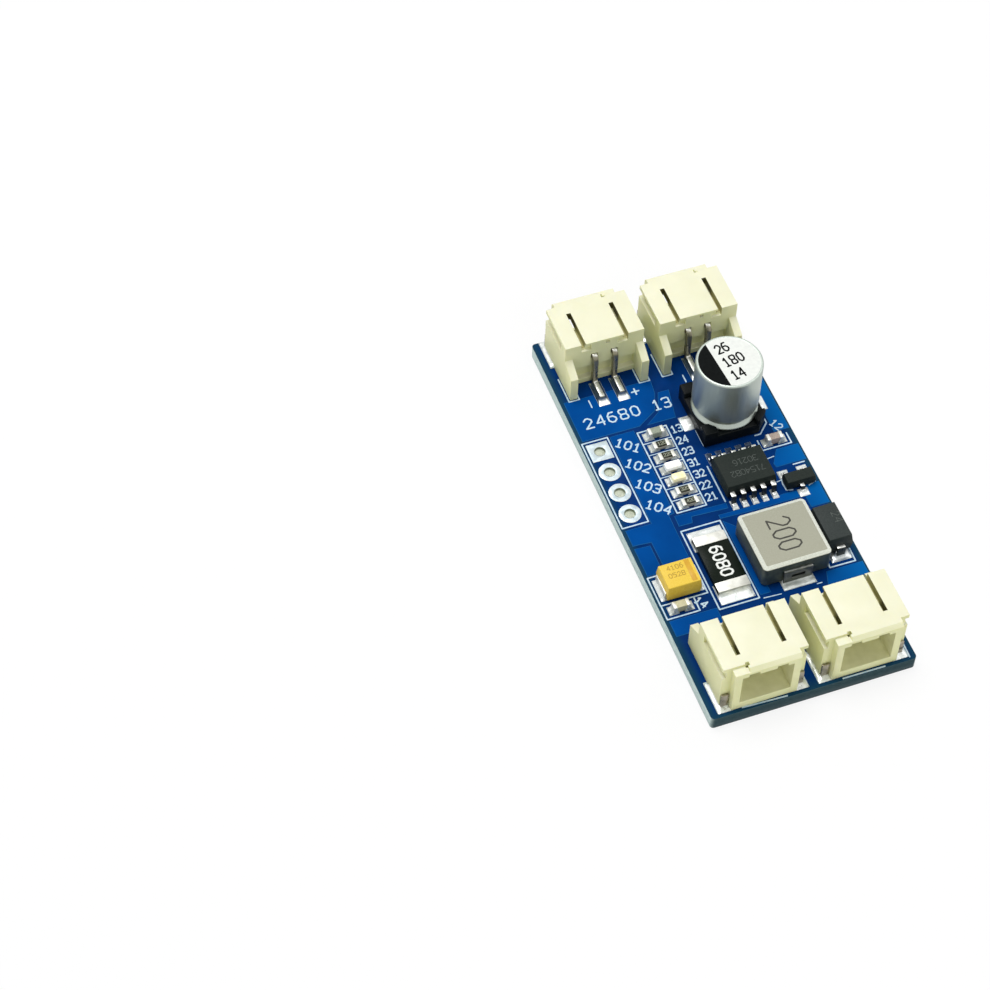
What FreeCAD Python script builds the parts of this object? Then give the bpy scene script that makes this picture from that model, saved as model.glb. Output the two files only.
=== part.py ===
import FreeCAD, Part

import math
import os
import re

import Sketcher

# A battery charger module: a blue circuit board with four two-way side-entry sockets,
# a row of plated header holes and the surface-mount parts of a switching charger.
# X runs along the short edge, Y along the long edge, Z up out of the component side.
# The origin is the centre of the board's underside. All sizes are in millimetres.

SIZES = {
    # Board: its length and width follow from the rows of parts that it carries
    "board_thickness": 1.4,
    "board_corner_radius": 0.35,
    "land_thickness": 0.05,
    # Row of plated header holes near the left edge
    "header_edge_gap": 0.45,
    "tantalum_header_gap": 6.44,
    "header_count": 4,
    "header_pitch": 2.54,
    "header_bore": 1.0,
    "header_land": 2.1,
    "plating_wall": 0.06,
    "plating_clearance": 0.02,
    # Sockets: where the four stand
    "socket_edge_gap": 1.05,
    "socket_gap": 1.6,
    "near_socket_inset": 0.35,
    "far_socket_inset": 0.05,
    # Sockets: moulded housing
    "housing_width": 7.9,
    "housing_depth": 6.0,
    "housing_height": 5.5,
    "arm_reach": 1.7,
    "arm_thickness": 0.75,
    "arm_front_height": 3.8,
    "arm_rear_height": 2.8,
    "flange_width": 0.85,
    "lip_reach": 0.8,
    "lip_bevel": 0.35,
    "side_wall": 1.55,
    "cavity_floor": 0.9,
    "cavity_roof": 0.9,
    "rear_wall": 2.15,
    "rib_groove_width": 1.0,
    "rib_groove_depth": 0.3,
    "rib_groove_spread": 2.6,
    "side_groove_depth": 0.35,
    "side_groove_height": 1.0,
    "side_groove_drop": 0.45,
    "side_groove_setback": 1.1,
    "slot_width": 0.42,
    "slot_length": 4.1,
    "slot_channel_depth": 0.8,
    "slot_cut_length": 1.4,
    "slot_cut_depth": 1.2,
    "slot_spread": 3.85,
    "undercut_depth": 0.6,
    "undercut_low": 0.6,
    "undercut_high": 2.3,
    "pocket_width": 1.0,
    "pocket_height": 0.75,
    "pocket_depth": 0.28,
    "pocket_drop": 0.25,
    "key_inner": 1.75,
    "key_drop": 0.3,
    "key_notch": 0.35,
    "gate_offset": 0.3,
    "gate_width": 0.4,
    "gate_depth": 0.35,
    # Sockets: square pins
    "pin_width": 0.5,
    "pin_pitch": 2.0,
    "pin_rise": 0.8,
    "pin_clearance": 0.08,
    "pin_setback": 1.2,
    "pin_bend": 0.2,
    "pin_foot_reach": 2.6,
    # Sockets: solder tabs at the front corners
    "tab_thickness": 0.2,
    "tab_width": 0.7,
    "tab_height": 1.75,
    "tab_foot_length": 2.4,
    "tab_clearance": 0.05,
    "tab_bend": 0.1,
    # Sockets: lands on the board
    "signal_land_width": 1.15,
    "signal_land_length": 3.0,
    "tab_land_width": 1.5,
    "tab_land_length": 3.4,
    # Electrolytic capacitor
    "ladder_can_gap": 1.53,
    "can_edge_gap": 1.15,
    "chip_can_gap": 1.075,
    "can_socket_gap": 1.32,
    "can_diameter": 6.3,
    "can_height": 7.6,
    "can_edge_bevel": 0.15,
    "can_foot_bevel": 0.12,
    "can_bead_height": 0.3,
    "can_groove_depth": 0.36,
    "can_groove_lower": 0.28,
    "can_groove_upper": 0.65,
    "base_margin": 0.1,
    "base_height": 1.25,
    "base_post_height": 0.6,
    "base_post_length": 1.3,
    "base_chamfer": 1.0,
    "base_clearance": 0.04,
    "can_lead_width": 0.9,
    "can_lead_thickness": 0.15,
    "can_lead_reach": 0.55,
    "can_lead_length": 2.3,
    "can_land_width": 1.7,
    "can_land_length": 2.8,
    "can_land_reach": 1.0,
    # Charger chip
    "ladder_chip_gap": 2.1,
    "inductor_chip_gap": 1.27,
    "chip_length": 4.9,
    "chip_width": 3.9,
    "chip_height": 1.7,
    "chip_belt_height": 0.95,
    "chip_standoff": 0.1,
    "chip_lead_count": 5,
    "chip_lead_pitch": 1.0,
    "chip_lead_width": 0.45,
    "chip_lead_thickness": 0.2,
    "chip_lead_reach": 1.05,
    "chip_land_width": 0.6,
    "chip_land_length": 1.1,
    "chip_far_land_extra": 0.35,
    "mould_draft": 9.0,
    # Bent leads and folded straps, as shares of their reach, thickness or part's length
    "gull_shoulder_share": 0.4,
    "gull_heel_share": 0.5,
    "gull_bend_share": 0.33,
    "strap_bend_share": 0.9,
    "strap_under_share": 0.2,
    # Transistor beside the chip
    "chip_transistor_gap": 0.73,
    "transistor_edge_gap": 0.55,
    "diode_transistor_gap": 2.0,
    "transistor_length": 2.9,
    "transistor_width": 1.3,
    "transistor_height": 1.1,
    "transistor_belt_height": 0.55,
    "transistor_lead_pitch": 1.9,
    "transistor_lead_width": 0.4,
    "transistor_lead_thickness": 0.15,
    "transistor_lead_reach": 0.6,
    "transistor_land_width": 1.0,
    "transistor_land_length": 0.9,
    # Power diode
    "inductor_diode_gap": 0.15,
    "diode_edge_gap": 0.6,
    "socket_diode_gap": 2.07,
    "diode_length": 4.2,
    "diode_width": 2.5,
    "diode_height": 2.25,
    "diode_belt_height": 1.15,
    "diode_lead_width": 0.8,
    "diode_lead_thickness": 0.2,
    "diode_lead_gap": 0.15,
    "diode_land_width": 2.0,
    "diode_land_length": 1.7,
    "diode_land_reach": 0.8,
    # Power inductor
    "sense_inductor_gap": 0.97,
    "socket_inductor_gap": 0.675,
    "inductor_width": 6.65,
    "inductor_length": 6.5,
    "inductor_height": 2.55,
    "inductor_corner_radius": 0.45,
    "inductor_edge_bevel": 0.32,
    "inductor_strap_width": 2.8,
    "inductor_strap_height": 1.65,
    "inductor_strap_thickness": 0.15,
    "inductor_strap_gap": 0.12,
    "inductor_window_width": 1.3,
    "inductor_window_height": 0.45,
    "inductor_land_width": 3.2,
    "inductor_land_length": 1.9,
    "inductor_land_reach": 1.025,
    # Current-sense resistor
    "tantalum_sense_gap": 0.81,
    "socket_sense_gap": 1.095,
    "sense_width": 3.1,
    "sense_length": 6.35,
    "sense_height": 0.6,
    "sense_cap_length": 1.05,
    "sense_cap_wall": 0.06,
    "sense_land_width": 3.3,
    "sense_land_length": 2.2,
    "sense_land_reach": 1.0,
    # Moulded tantalum capacitor
    "tantalum_edge_gap": 0.52,
    "ceramic_tantalum_gap": 0.505,
    "tantalum_length": 3.3,
    "tantalum_width": 2.8,
    "tantalum_height": 1.9,
    "tantalum_belt_height": 0.9,
    "tantalum_draft": 5.0,
    "tantalum_strap_width": 2.2,
    "tantalum_strap_thickness": 0.1,
    "tantalum_strap_gap": 0.03,
    "tantalum_land_width": 2.4,
    "tantalum_land_length": 1.3,
    "tantalum_land_reach": 0.45,
    # Small two-terminal chips: resistors, ceramic capacitors and indicator lamps
    "small_length": 1.6,
    "small_width": 0.8,
    "small_cap_length": 0.35,
    "small_resistor_height": 0.45,
    "small_resistor_recess": 0.04,
    "small_ceramic_height": 0.8,
    "small_ceramic_edge": 0.08,
    "lamp_height": 0.75,
    "lamp_base_height": 0.3,
    "lamp_lens_length": 1.3,
    "lamp_lens_taper": 0.08,
    "lamp_notch_radius": 0.18,
    "small_land_length": 0.95,
    "small_land_width": 0.95,
    "small_land_reach": 0.4,
    "header_ladder_gap": 3.37,
    "sense_ladder_gap": 2.7,
    "ladder_pitch": 1.407,
    "right_ceramic_edge_gap": 1.0,
    "ceramic_can_gap": 0.875,
    "left_ceramic_edge_gap": 0.67,
    "socket_ceramic_gap": 1.565,
}

SLACK = 1.0
DECK = "board_thickness + land_thickness"
CAN_SIDE = "(can_diameter + 2 * base_margin)"
SMALL_SPAN = "(small_length + 2 * small_land_reach)"

doc = FreeCAD.newDocument("charger_module")
sheet = doc.addObject("Spreadsheet::Sheet", "sizes")
for row, (size_name, size) in enumerate(SIZES.items(), start=1):
    sheet.set(f"A{row}", size_name)
    sheet.set(f"B{row}", str(size))
    sheet.setAlias(f"B{row}", size_name)

layout = doc.addObject("App::VarSet", "layout")
places = []
nodes = []
cuts = []


def references(formula):
    """The formula with each size's or place's name turned into a reference to its value."""
    def reference(word):
        name = word.group()
        if name in SIZES:
            return f"sizes.{name}"
        return f"layout.{name}" if name in places else name
    return re.sub(r"[a-z][a-z_]+", reference, str(formula))


def bind(thing, name, formula):
    thing.setExpression(name, references(formula))


def settle(name, formula):
    """Work out a place or an overall size from the driving sizes, under a name."""
    layout.addProperty("App::PropertyFloat", name, "Places")
    bind(layout, name, formula)
    places.append(name)


def line_up(axis, start, *pieces):
    """Settle where each piece's centre lies along a line, and return where the line ends.

    Each piece is given by the gap before it, its name and its span.
    """
    end = start
    for gap, name, span in pieces:
        settle(f"{name}_{axis}", f"{end} + {gap} + {span} / 2")
        end = f"{name}_{axis} + {span} / 2"
    return end


def place(thing, x="0", y="0", z="0", turn=0):
    """Put a shape at a place, turned about Z by a number of degrees."""
    up = FreeCAD.Vector(0, 0, 1)
    thing.Placement = FreeCAD.Placement(FreeCAD.Vector(), FreeCAD.Rotation(up, turn))
    for axis, formula in (("x", x), ("y", y), ("z", z)):
        bind(thing, f"Placement.Base.{axis}", formula)
    return thing


def from_corner(x, y):
    """A place measured from the board's near left corner, in the module's own frame."""
    return f"{x} - board_width / 2", f"{y} - board_length / 2"


def keep(thing, label):
    """Name a finished sub-part, which is then checked and written out."""
    thing.Label = label
    nodes.append(thing)


def seat(thing, label, x, y, turn=0):
    """Stand a finished sub-part on the lands, at a place measured from the board's corner."""
    keep(place(thing, *from_corner(x, y), DECK, turn), label)


# Places along the board and across it, measured from its near left corner

def settle_places():
    feet = "(pin_clearance + pin_width / 2 + signal_land_length)"
    ladder_end = line_up(
        "x", "0", ("header_edge_gap", "header", "header_land"),
        ("header_ladder_gap", "ladder", SMALL_SPAN),
    )
    chip_row_end = line_up(
        "x", ladder_end, ("ladder_chip_gap", "chip", "chip_length"),
        ("chip_transistor_gap", "transistor", "transistor_length"),
    )
    can_row_end = line_up(
        "x", ladder_end, ("ladder_can_gap", "can", f"({CAN_SIDE} + 2 * can_land_reach)")
    )
    power_row_end = line_up(
        "x", "0",
        ("tantalum_edge_gap", "tantalum", "(tantalum_length + 2 * tantalum_land_reach)"),
        ("tantalum_sense_gap", "sense", "sense_width"),
        ("sense_inductor_gap", "inductor", "inductor_width"),
        ("inductor_diode_gap", "diode", "diode_width"),
    )
    socket_row_end = line_up(
        "x", "0", ("socket_edge_gap", "left_socket", "housing_width"),
        ("socket_gap", "right_socket", "housing_width"),
    )
    settle(
        "board_width",
        f"max({chip_row_end} + transistor_edge_gap; {can_row_end} + can_edge_gap; "
        f"{power_row_end} + diode_edge_gap; {socket_row_end} + socket_edge_gap)",
    )
    line_up("x", "0", ("left_ceramic_edge_gap", "left_ceramic", SMALL_SPAN))
    settle("right_ceramic_x", f"board_width - right_ceramic_edge_gap - {SMALL_SPAN} / 2")

    settle("near_socket_y", "near_socket_inset + housing_depth")
    feet_end = f"near_socket_y + {feet}"
    can_end = line_up(
        "y", feet_end,
        ("socket_inductor_gap", "inductor", "(inductor_length + 2 * inductor_land_reach)"),
        ("inductor_chip_gap", "chip",
         "(chip_width + 2 * chip_lead_reach + chip_land_length / 2)"),
        ("chip_can_gap", "can", CAN_SIDE),
    )
    settle("far_socket_y", f"{can_end} + can_socket_gap + {feet}")
    settle("board_length", "far_socket_y + housing_depth + far_socket_inset")
    line_up(
        "y", feet_end,
        ("socket_sense_gap", "sense", "(sense_length + 2 * sense_land_reach)"),
        ("sense_ladder_gap", "ladder", "small_land_width"),
    )
    line_up(
        "y", feet_end, ("socket_ceramic_gap", "left_ceramic", "small_land_width"),
        ("ceramic_tantalum_gap", "tantalum", "tantalum_width"),
        ("tantalum_header_gap", "header", "header_land"),
    )
    line_up(
        "y", feet_end, ("socket_diode_gap", "diode", "(diode_length + 2 * diode_land_reach)"),
        ("diode_transistor_gap", "transistor",
         "(transistor_width + 2 * transistor_lead_reach + transistor_land_length)"),
    )
    settle(
        "right_ceramic_y", f"can_y - {CAN_SIDE} / 2 - ceramic_can_gap - small_land_width / 2"
    )
    settle("lip_width", "housing_width - 2 * flange_width")
    settle("cavity_width", "housing_width - 2 * side_wall")
    settle("pin_height", "(cavity_floor + housing_height - cavity_roof) / 2 + pin_rise")


# Sketches and features of a body

def new_body(name):
    return doc.addObject("PartDesign::Body", name)


def origin_plane(body, role):
    for feature in body.Origin.OriginFeatures:
        if feature.Role == role:
            return feature
    raise ValueError(role)


def new_sketch(body, role, offset="0"):
    sketch = body.newObject("Sketcher::SketchObject", f"{body.Name}_sketch")
    sketch.AttachmentSupport = [(origin_plane(body, role), "")]
    sketch.MapMode = "FlatFace"
    bind(sketch, "AttachmentOffset.Base.z", offset)
    return sketch


def fix_point(sketch, element, point, x, y):
    """Hold one point of the sketch at two bound distances from the sketch's origin."""
    for kind, formula in (("DistanceX", x), ("DistanceY", y)):
        number = sketch.addConstraint(
            Sketcher.Constraint(kind, -1, 1, element, point, 1.0)
        )
        bind(sketch, f"Constraints[{number}]", formula)


def add_polygon(sketch, points):
    """A closed outline whose every corner is bound to the sheet."""
    count = len(points)
    first = sketch.GeometryCount
    ring = [
        FreeCAD.Vector(math.cos(2 * math.pi * i / count), math.sin(2 * math.pi * i / count))
        for i in range(count)
    ]
    for i in range(count):
        sketch.addGeometry(Part.LineSegment(ring[i], ring[(i + 1) % count]))
    for i in range(count):
        following = first + (i + 1) % count
        sketch.addConstraint(Sketcher.Constraint("Coincident", first + i, 2, following, 1))
    for i, (x, y) in enumerate(points):
        fix_point(sketch, first + i, 1, x, y)


def add_rectangle(sketch, left, right, low, high):
    add_polygon(sketch, [(left, low), (right, low), (right, high), (left, high)])


def add_circle(sketch, x, y, radius):
    circle = Part.Circle(FreeCAD.Vector(), FreeCAD.Vector(0, 0, 1), 1.0)
    element = sketch.addGeometry(circle)
    fix_point(sketch, element, 3, x, y)
    number = sketch.addConstraint(Sketcher.Constraint("Radius", element, 1.0))
    bind(sketch, f"Constraints[{number}]", radius)


def add_pad(body, sketch, length, symmetric=False, backwards=False, draft=None):
    pad = body.newObject("PartDesign::Pad", f"{body.Name}_pad")
    pad.Profile = sketch
    pad.SideType = "Symmetric" if symmetric else "One side"
    pad.Reversed = backwards
    bind(pad, "Length", length)
    if draft:
        bind(pad, "TaperAngle", f"-({draft})")
    return pad


def add_pocket(body, sketch, depth, symmetric=False, backwards=False):
    pocket = body.newObject("PartDesign::Pocket", f"{body.Name}_pocket")
    pocket.Profile = sketch
    pocket.SideType = "Symmetric" if symmetric else "One side"
    pocket.Reversed = backwards
    bind(pocket, "Length", depth)
    cuts.append(pocket)
    return pocket


def add_revolution(body, sketch):
    revolution = body.newObject("PartDesign::Revolution", f"{body.Name}_revolution")
    revolution.Profile = sketch
    revolution.ReferenceAxis = (sketch, ["V_Axis"])
    revolution.Angle = 360
    return revolution


def repeat_in_row(body, feature, axis_role, pitch, count):
    """Copies of a feature along one of the body's axes."""
    pattern = body.newObject("PartDesign::LinearPattern", f"{body.Name}_row")
    pattern.Originals = [feature]
    pattern.Direction = (origin_plane(body, axis_role), [""])
    pattern.Mode = "Spacing"
    bind(pattern, "Offset", pitch)
    bind(pattern, "Occurrences", count)
    body.Tip = pattern


def mirror_sideways(body, feature):
    """The same feature on the other side of the body's middle."""
    mirrored = body.newObject("PartDesign::Mirrored", f"{body.Name}_mirrored")
    mirrored.Originals = [feature]
    mirrored.MirrorPlane = (origin_plane(body, "YZ_Plane"), [""])
    body.Tip = mirrored


def round_corners(body, feature, sketch, corners, radius):
    """Round the edges that were drawn as the numbered corners of a sketch."""
    doc.recompute()
    normal = sketch.Placement.Rotation.multVec(FreeCAD.Vector(0, 0, 1))
    names = []
    for corner in corners:
        drawn = Part.Vertex(sketch.Placement.multVec(sketch.Geometry[corner].StartPoint))
        for number, edge in enumerate(feature.Shape.Edges, start=1):
            if edge.distToShape(drawn)[0] > 1e-6:
                continue
            kind = edge.Curve.TypeId
            along = kind == "Part::GeomLine" and abs(edge.Curve.Direction.dot(normal)) > 0.999
            if along or kind == "Part::GeomCircle":
                names.append(f"Edge{number}")
    fillet = body.newObject("PartDesign::Fillet", f"{body.Name}_rounding")
    fillet.Base = (feature, names)
    bind(fillet, "Radius", radius)
    return fillet


def bevel_edges(body, feature, edges, size):
    bevel = body.newObject("PartDesign::Chamfer", f"{body.Name}_bevel")
    bevel.Base = (feature, edges)
    bind(bevel, "Size", size)


# Plain solids

def add_block(name, x, y, z, length, width, height):
    """A block centred on x and y, standing on z."""
    block = doc.addObject("Part::Box", name)
    bind(block, "Length", length)
    bind(block, "Width", width)
    bind(block, "Height", height)
    return place(block, f"({x}) - ({length}) / 2", f"({y}) - ({width}) / 2", z)


def add_cylinder(name, x, y, z, radius, height):
    cylinder = doc.addObject("Part::Cylinder", name)
    bind(cylinder, "Radius", radius)
    bind(cylinder, "Height", height)
    return place(cylinder, x, y, z)


def add_union(name, shapes):
    union = doc.addObject("Part::MultiFuse", name)
    union.Shapes = shapes
    return union


def add_cut(name, base, tool):
    cut = doc.addObject("Part::Cut", name)
    cut.Base = base
    cut.Tool = tool
    return cut


# Circuit board

def make_board():
    body = new_body("circuit_board")
    outline = new_sketch(body, "XY_Plane")
    add_rectangle(
        outline, "-board_width / 2", "board_width / 2", "-board_length / 2", "board_length / 2"
    )
    slab = add_pad(body, outline, "board_thickness")
    round_corners(body, slab, outline, range(4), "board_corner_radius")
    for radius, depth in (
        ("header_bore / 2 + plating_wall + plating_clearance", "board_thickness"),
        ("header_land / 2 + plating_clearance", "land_thickness"),
    ):
        drilling = new_sketch(body, "XY_Plane")
        add_circle(drilling, *from_corner("header_x", "header_y"), radius)
        hole = add_pocket(body, drilling, depth, backwards=True)
        repeat_in_row(body, hole, "Y_Axis", "header_pitch", "header_count")
    keep(body, "circuit_board")


def make_header_eyelets():
    """Plated holes: a barrel with a land on each side, square above at the far one."""
    for number in range(1, SIZES["header_count"] + 1):
        name = f"header_eyelet_{number}"
        x, y = from_corner("header_x", f"header_y + (header_count - {number}) * header_pitch")
        if number == 1:
            upper = add_block(
                f"{name}_upper", x, y, "board_thickness", "header_land", "header_land",
                "land_thickness",
            )
        else:
            upper = add_cylinder(
                f"{name}_upper", x, y, "board_thickness", "header_land / 2", "land_thickness"
            )
        lower = add_cylinder(f"{name}_lower", x, y, "0", "header_land / 2", "land_thickness")
        barrel = add_cylinder(
            f"{name}_barrel", x, y, "0", "header_bore / 2 + plating_wall", DECK
        )
        bore = add_cylinder(f"{name}_bore", x, y, "0", "header_bore / 2", DECK)
        metal = add_union(f"{name}_metal", [upper, lower, barrel])
        keep(add_cut(name, metal, bore), name)


# Lands: the bare tinned areas that the parts are soldered to

lands = []


def add_land(x, y, length, width):
    name = f"land_{len(lands) + 1}"
    lands.append(add_block(
        name, *from_corner(x, y), "board_thickness", length, width, "land_thickness"
    ))


def add_land_pair(x, y, span, reach, length, width, along_y):
    """Two lands under the ends of a part, each reaching past the part by the same amount."""
    for sign in ("-", "+"):
        middle = f"{sign} (({span}) / 2 + {reach} - {length} / 2)"
        if along_y:
            add_land(x, f"{y} {middle}", width, length)
        else:
            add_land(f"{x} {middle}", y, length, width)


# Sockets

SOCKETS = {
    "near_left": ("left_socket_x", "near_socket_y", 180),
    "near_right": ("right_socket_x", "near_socket_y", 180),
    "far_left": ("left_socket_x", "far_socket_y", 0),
    "far_right": ("right_socket_x", "far_socket_y", 0),
}


def make_housing(label):
    """Drawn with its rear face on Y = 0, its mating face towards +Y and its underside at 0."""
    body = new_body(label)
    flange_front = "(housing_depth - lip_reach)"

    # Plan view: the two arms behind, the body, and the lip that stands out in front.
    plan = new_sketch(body, "XY_Plane")
    half = "housing_width / 2"
    add_polygon(plan, [
        (f"-{half}", "-arm_reach"),
        (f"-{half} + arm_thickness", "-arm_reach"),
        (f"-{half} + arm_thickness", "0"),
        (f"{half} - arm_thickness", "0"),
        (f"{half} - arm_thickness", "-arm_reach"),
        (half, "-arm_reach"),
        (half, flange_front),
        ("lip_width / 2", flange_front),
        ("lip_width / 2", "housing_depth"),
        ("-lip_width / 2", "housing_depth"),
        ("-lip_width / 2", flange_front),
        (f"-{half}", flange_front),
    ])
    add_pad(body, plan, "housing_height")

    # The arms slope down towards their ends.
    slope = new_sketch(body, "YZ_Plane")
    add_polygon(slope, [
        (f"-arm_reach - {SLACK}",
         f"arm_rear_height - {SLACK} * (arm_front_height - arm_rear_height) / arm_reach"),
        ("0", "arm_front_height"),
        ("0", f"housing_height + {SLACK}"),
        (f"-arm_reach - {SLACK}", f"housing_height + {SLACK}"),
    ])
    add_pocket(body, slope, f"housing_width + {SLACK}", symmetric=True)

    # Cavity for the plug, with two grooves in its roof for the plug's ribs.
    mouth = new_sketch(body, "XZ_Plane", "-housing_depth")
    add_rectangle(
        mouth, "-cavity_width / 2", "cavity_width / 2", "cavity_floor",
        "housing_height - cavity_roof",
    )
    add_pocket(body, mouth, "housing_depth - rear_wall", backwards=True)
    for sign in ("-", ""):
        groove = new_sketch(body, "XZ_Plane", "-housing_depth")
        middle = f"{sign}rib_groove_spread / 2"
        add_rectangle(
            groove, f"{middle} - rib_groove_width / 2", f"{middle} + rib_groove_width / 2",
            "cavity_floor", "housing_height - cavity_roof + rib_groove_depth",
        )
        add_pocket(body, groove, "housing_depth - slot_length", backwards=True)

    # A groove along each side, below the edge of the roof.
    side = new_sketch(body, "YZ_Plane", half)
    add_rectangle(
        side, "side_groove_setback", flange_front,
        "housing_height - side_groove_drop - side_groove_height",
        "housing_height - side_groove_drop",
    )
    mirror_sideways(body, add_pocket(body, side, "side_groove_depth"))

    # Two long slots in the roof: a channel from the rear that ends in a cut to the cavity.
    for start, depth in (
        ("0", "slot_channel_depth"), ("slot_length - slot_cut_length", "slot_cut_depth"),
    ):
        slot = new_sketch(body, "XY_Plane", "housing_height")
        add_rectangle(
            slot, "slot_spread / 2", "slot_spread / 2 + slot_width", start, "slot_length"
        )
        mirror_sideways(body, add_pocket(body, slot, depth))

    # The rear face: an undercut between the arms and a pocket beside each slot.
    undercut = new_sketch(body, "YZ_Plane")
    add_rectangle(undercut, "0", "undercut_depth", "undercut_low", "undercut_high")
    add_pocket(body, undercut, "housing_width - 2 * arm_thickness", symmetric=True)
    pocket = new_sketch(body, "XZ_Plane")
    add_rectangle(
        pocket, "slot_spread / 2 + slot_width - pocket_width", "slot_spread / 2 + slot_width",
        "housing_height - pocket_drop - pocket_height", "housing_height - pocket_drop",
    )
    mirror_sideways(body, add_pocket(body, pocket, "pocket_depth"))

    # The moulding gate's small notch high on the rear face.
    gate = new_sketch(body, "XY_Plane", "housing_height - pocket_drop")
    add_rectangle(
        gate, "gate_offset - gate_width / 2", "gate_offset + gate_width / 2", "0", "gate_depth"
    )
    add_pocket(body, gate, "gate_depth")

    # The lip is bevelled along its top edge and steps down at one end, with a notch where
    # the step begins.
    edge = new_sketch(body, "YZ_Plane")
    add_polygon(edge, [
        ("housing_depth - lip_bevel", "housing_height"), ("housing_depth", "housing_height"),
        ("housing_depth", "housing_height - lip_bevel"),
    ])
    add_pocket(body, edge, f"lip_width + {SLACK}", symmetric=True)
    step = new_sketch(body, "XY_Plane", "housing_height")
    add_rectangle(step, "key_inner", "lip_width / 2", flange_front, "housing_depth")
    add_pocket(body, step, "key_drop")
    notch = new_sketch(body, "XY_Plane", "housing_height")
    add_rectangle(
        notch, "key_inner - key_notch / 2", "key_inner + key_notch / 2",
        f"{flange_front} - key_notch / 2", f"{flange_front} + key_notch / 2",
    )
    add_pocket(body, notch, "2 * key_drop")

    # Square holes for the pins through the rear wall.
    passage = new_sketch(body, "XZ_Plane")
    reach = "(pin_width / 2 + pin_clearance)"
    add_rectangle(
        passage, f"pin_pitch / 2 - {reach}", f"pin_pitch / 2 + {reach}",
        f"pin_height - {reach}", f"pin_height + {reach}",
    )
    mirror_sideways(body, add_pocket(body, passage, "rear_wall"))

    # Room under each side for the foot of a solder tab.
    relief = new_sketch(body, "XY_Plane")
    add_rectangle(
        relief, f"{half} - tab_width - 2 * tab_clearance", half,
        f"{flange_front} - tab_foot_length - tab_clearance", flange_front,
    )
    mirror_sideways(
        body, add_pocket(body, relief, "tab_thickness + tab_clearance", backwards=True)
    )
    return body


def make_pin(label):
    """A square pin: out of the cavity, down behind the housing and back along the board."""
    body = new_body(label)
    side = new_sketch(body, "YZ_Plane")
    tip = "housing_depth - pin_setback"
    inner = "-pin_clearance"
    outer = "-pin_clearance - pin_width"
    low = "pin_height - pin_width / 2"
    high = "pin_height + pin_width / 2"
    add_polygon(side, [
        (tip, high), (outer, high), (outer, "pin_width"), ("-pin_foot_reach", "pin_width"),
        ("-pin_foot_reach", "0"), (inner, "0"), (inner, low), (tip, low),
    ])
    bar = add_pad(body, side, "pin_width", symmetric=True)
    inside = round_corners(body, bar, side, (2, 6), "pin_bend")
    round_corners(body, inside, side, (1, 5), "pin_bend + pin_width")
    return body


def make_tab(label):
    """A folded strip: a foot under the housing's side and an upright in front of it."""
    body = new_body(label)
    side = new_sketch(body, "YZ_Plane")
    rear = "housing_depth - lip_reach - tab_foot_length"
    face = "housing_depth - lip_reach + tab_clearance"
    add_polygon(side, [
        (rear, "0"), (f"{face} + tab_thickness", "0"), (f"{face} + tab_thickness", "tab_height"),
        (face, "tab_height"), (face, "tab_thickness"), (rear, "tab_thickness"),
    ])
    strip = add_pad(body, side, "tab_width", symmetric=True)
    round_corners(body, strip, side, (1,), "tab_bend")
    return body


def make_sockets():
    for place_name, (x, y, turn) in SOCKETS.items():
        name = f"socket_{place_name}"
        facing = "-" if turn else "+"
        behind = "+" if turn else "-"
        seat(make_housing(f"{name}_housing"), f"{name}_housing", x, y, turn)
        signal_y = f"{y} {behind} (pin_clearance + pin_width / 2 + signal_land_length / 2)"
        tab_y = f"{y} {facing} (housing_depth - tab_land_length / 2)"
        for number, sign in ((1, "-"), (2, "+")):
            pin_x = f"{x} {sign} pin_pitch / 2"
            tab_x = f"{x} {sign} (housing_width / 2 - tab_width / 2 - tab_clearance)"
            pin = f"{name}_pin_{number}"
            tab = f"{name}_tab_{number}"
            seat(make_pin(pin), pin, pin_x, y, turn)
            seat(make_tab(tab), tab, tab_x, y, turn)
            add_land(pin_x, signal_y, "signal_land_width", "signal_land_length")
            add_land(tab_x, tab_y, "tab_land_width", "tab_land_length")


# Moulded parts and their metal

def make_moulding(label, length, width, height, belt_height, belt, low, draft):
    """A moulded block with a straight belt where its metal comes out and drafted sides."""
    body = new_body(label)
    levels = (
        (f"{belt_height} - {belt} / 2", belt, False, None),
        (f"{belt_height} + {belt} / 2", f"{height} - {belt_height} - {belt} / 2", False, draft),
        (f"{belt_height} - {belt} / 2", f"{belt_height} - {belt} / 2 - ({low})", True, draft),
    )
    for level, rise, down, taper in levels:
        outline = new_sketch(body, "XY_Plane", level)
        add_rectangle(
            outline, f"-{length} / 2", f"{length} / 2", f"-{width} / 2", f"{width} / 2"
        )
        add_pad(body, outline, rise, backwards=down, draft=taper)
    return body


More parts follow.
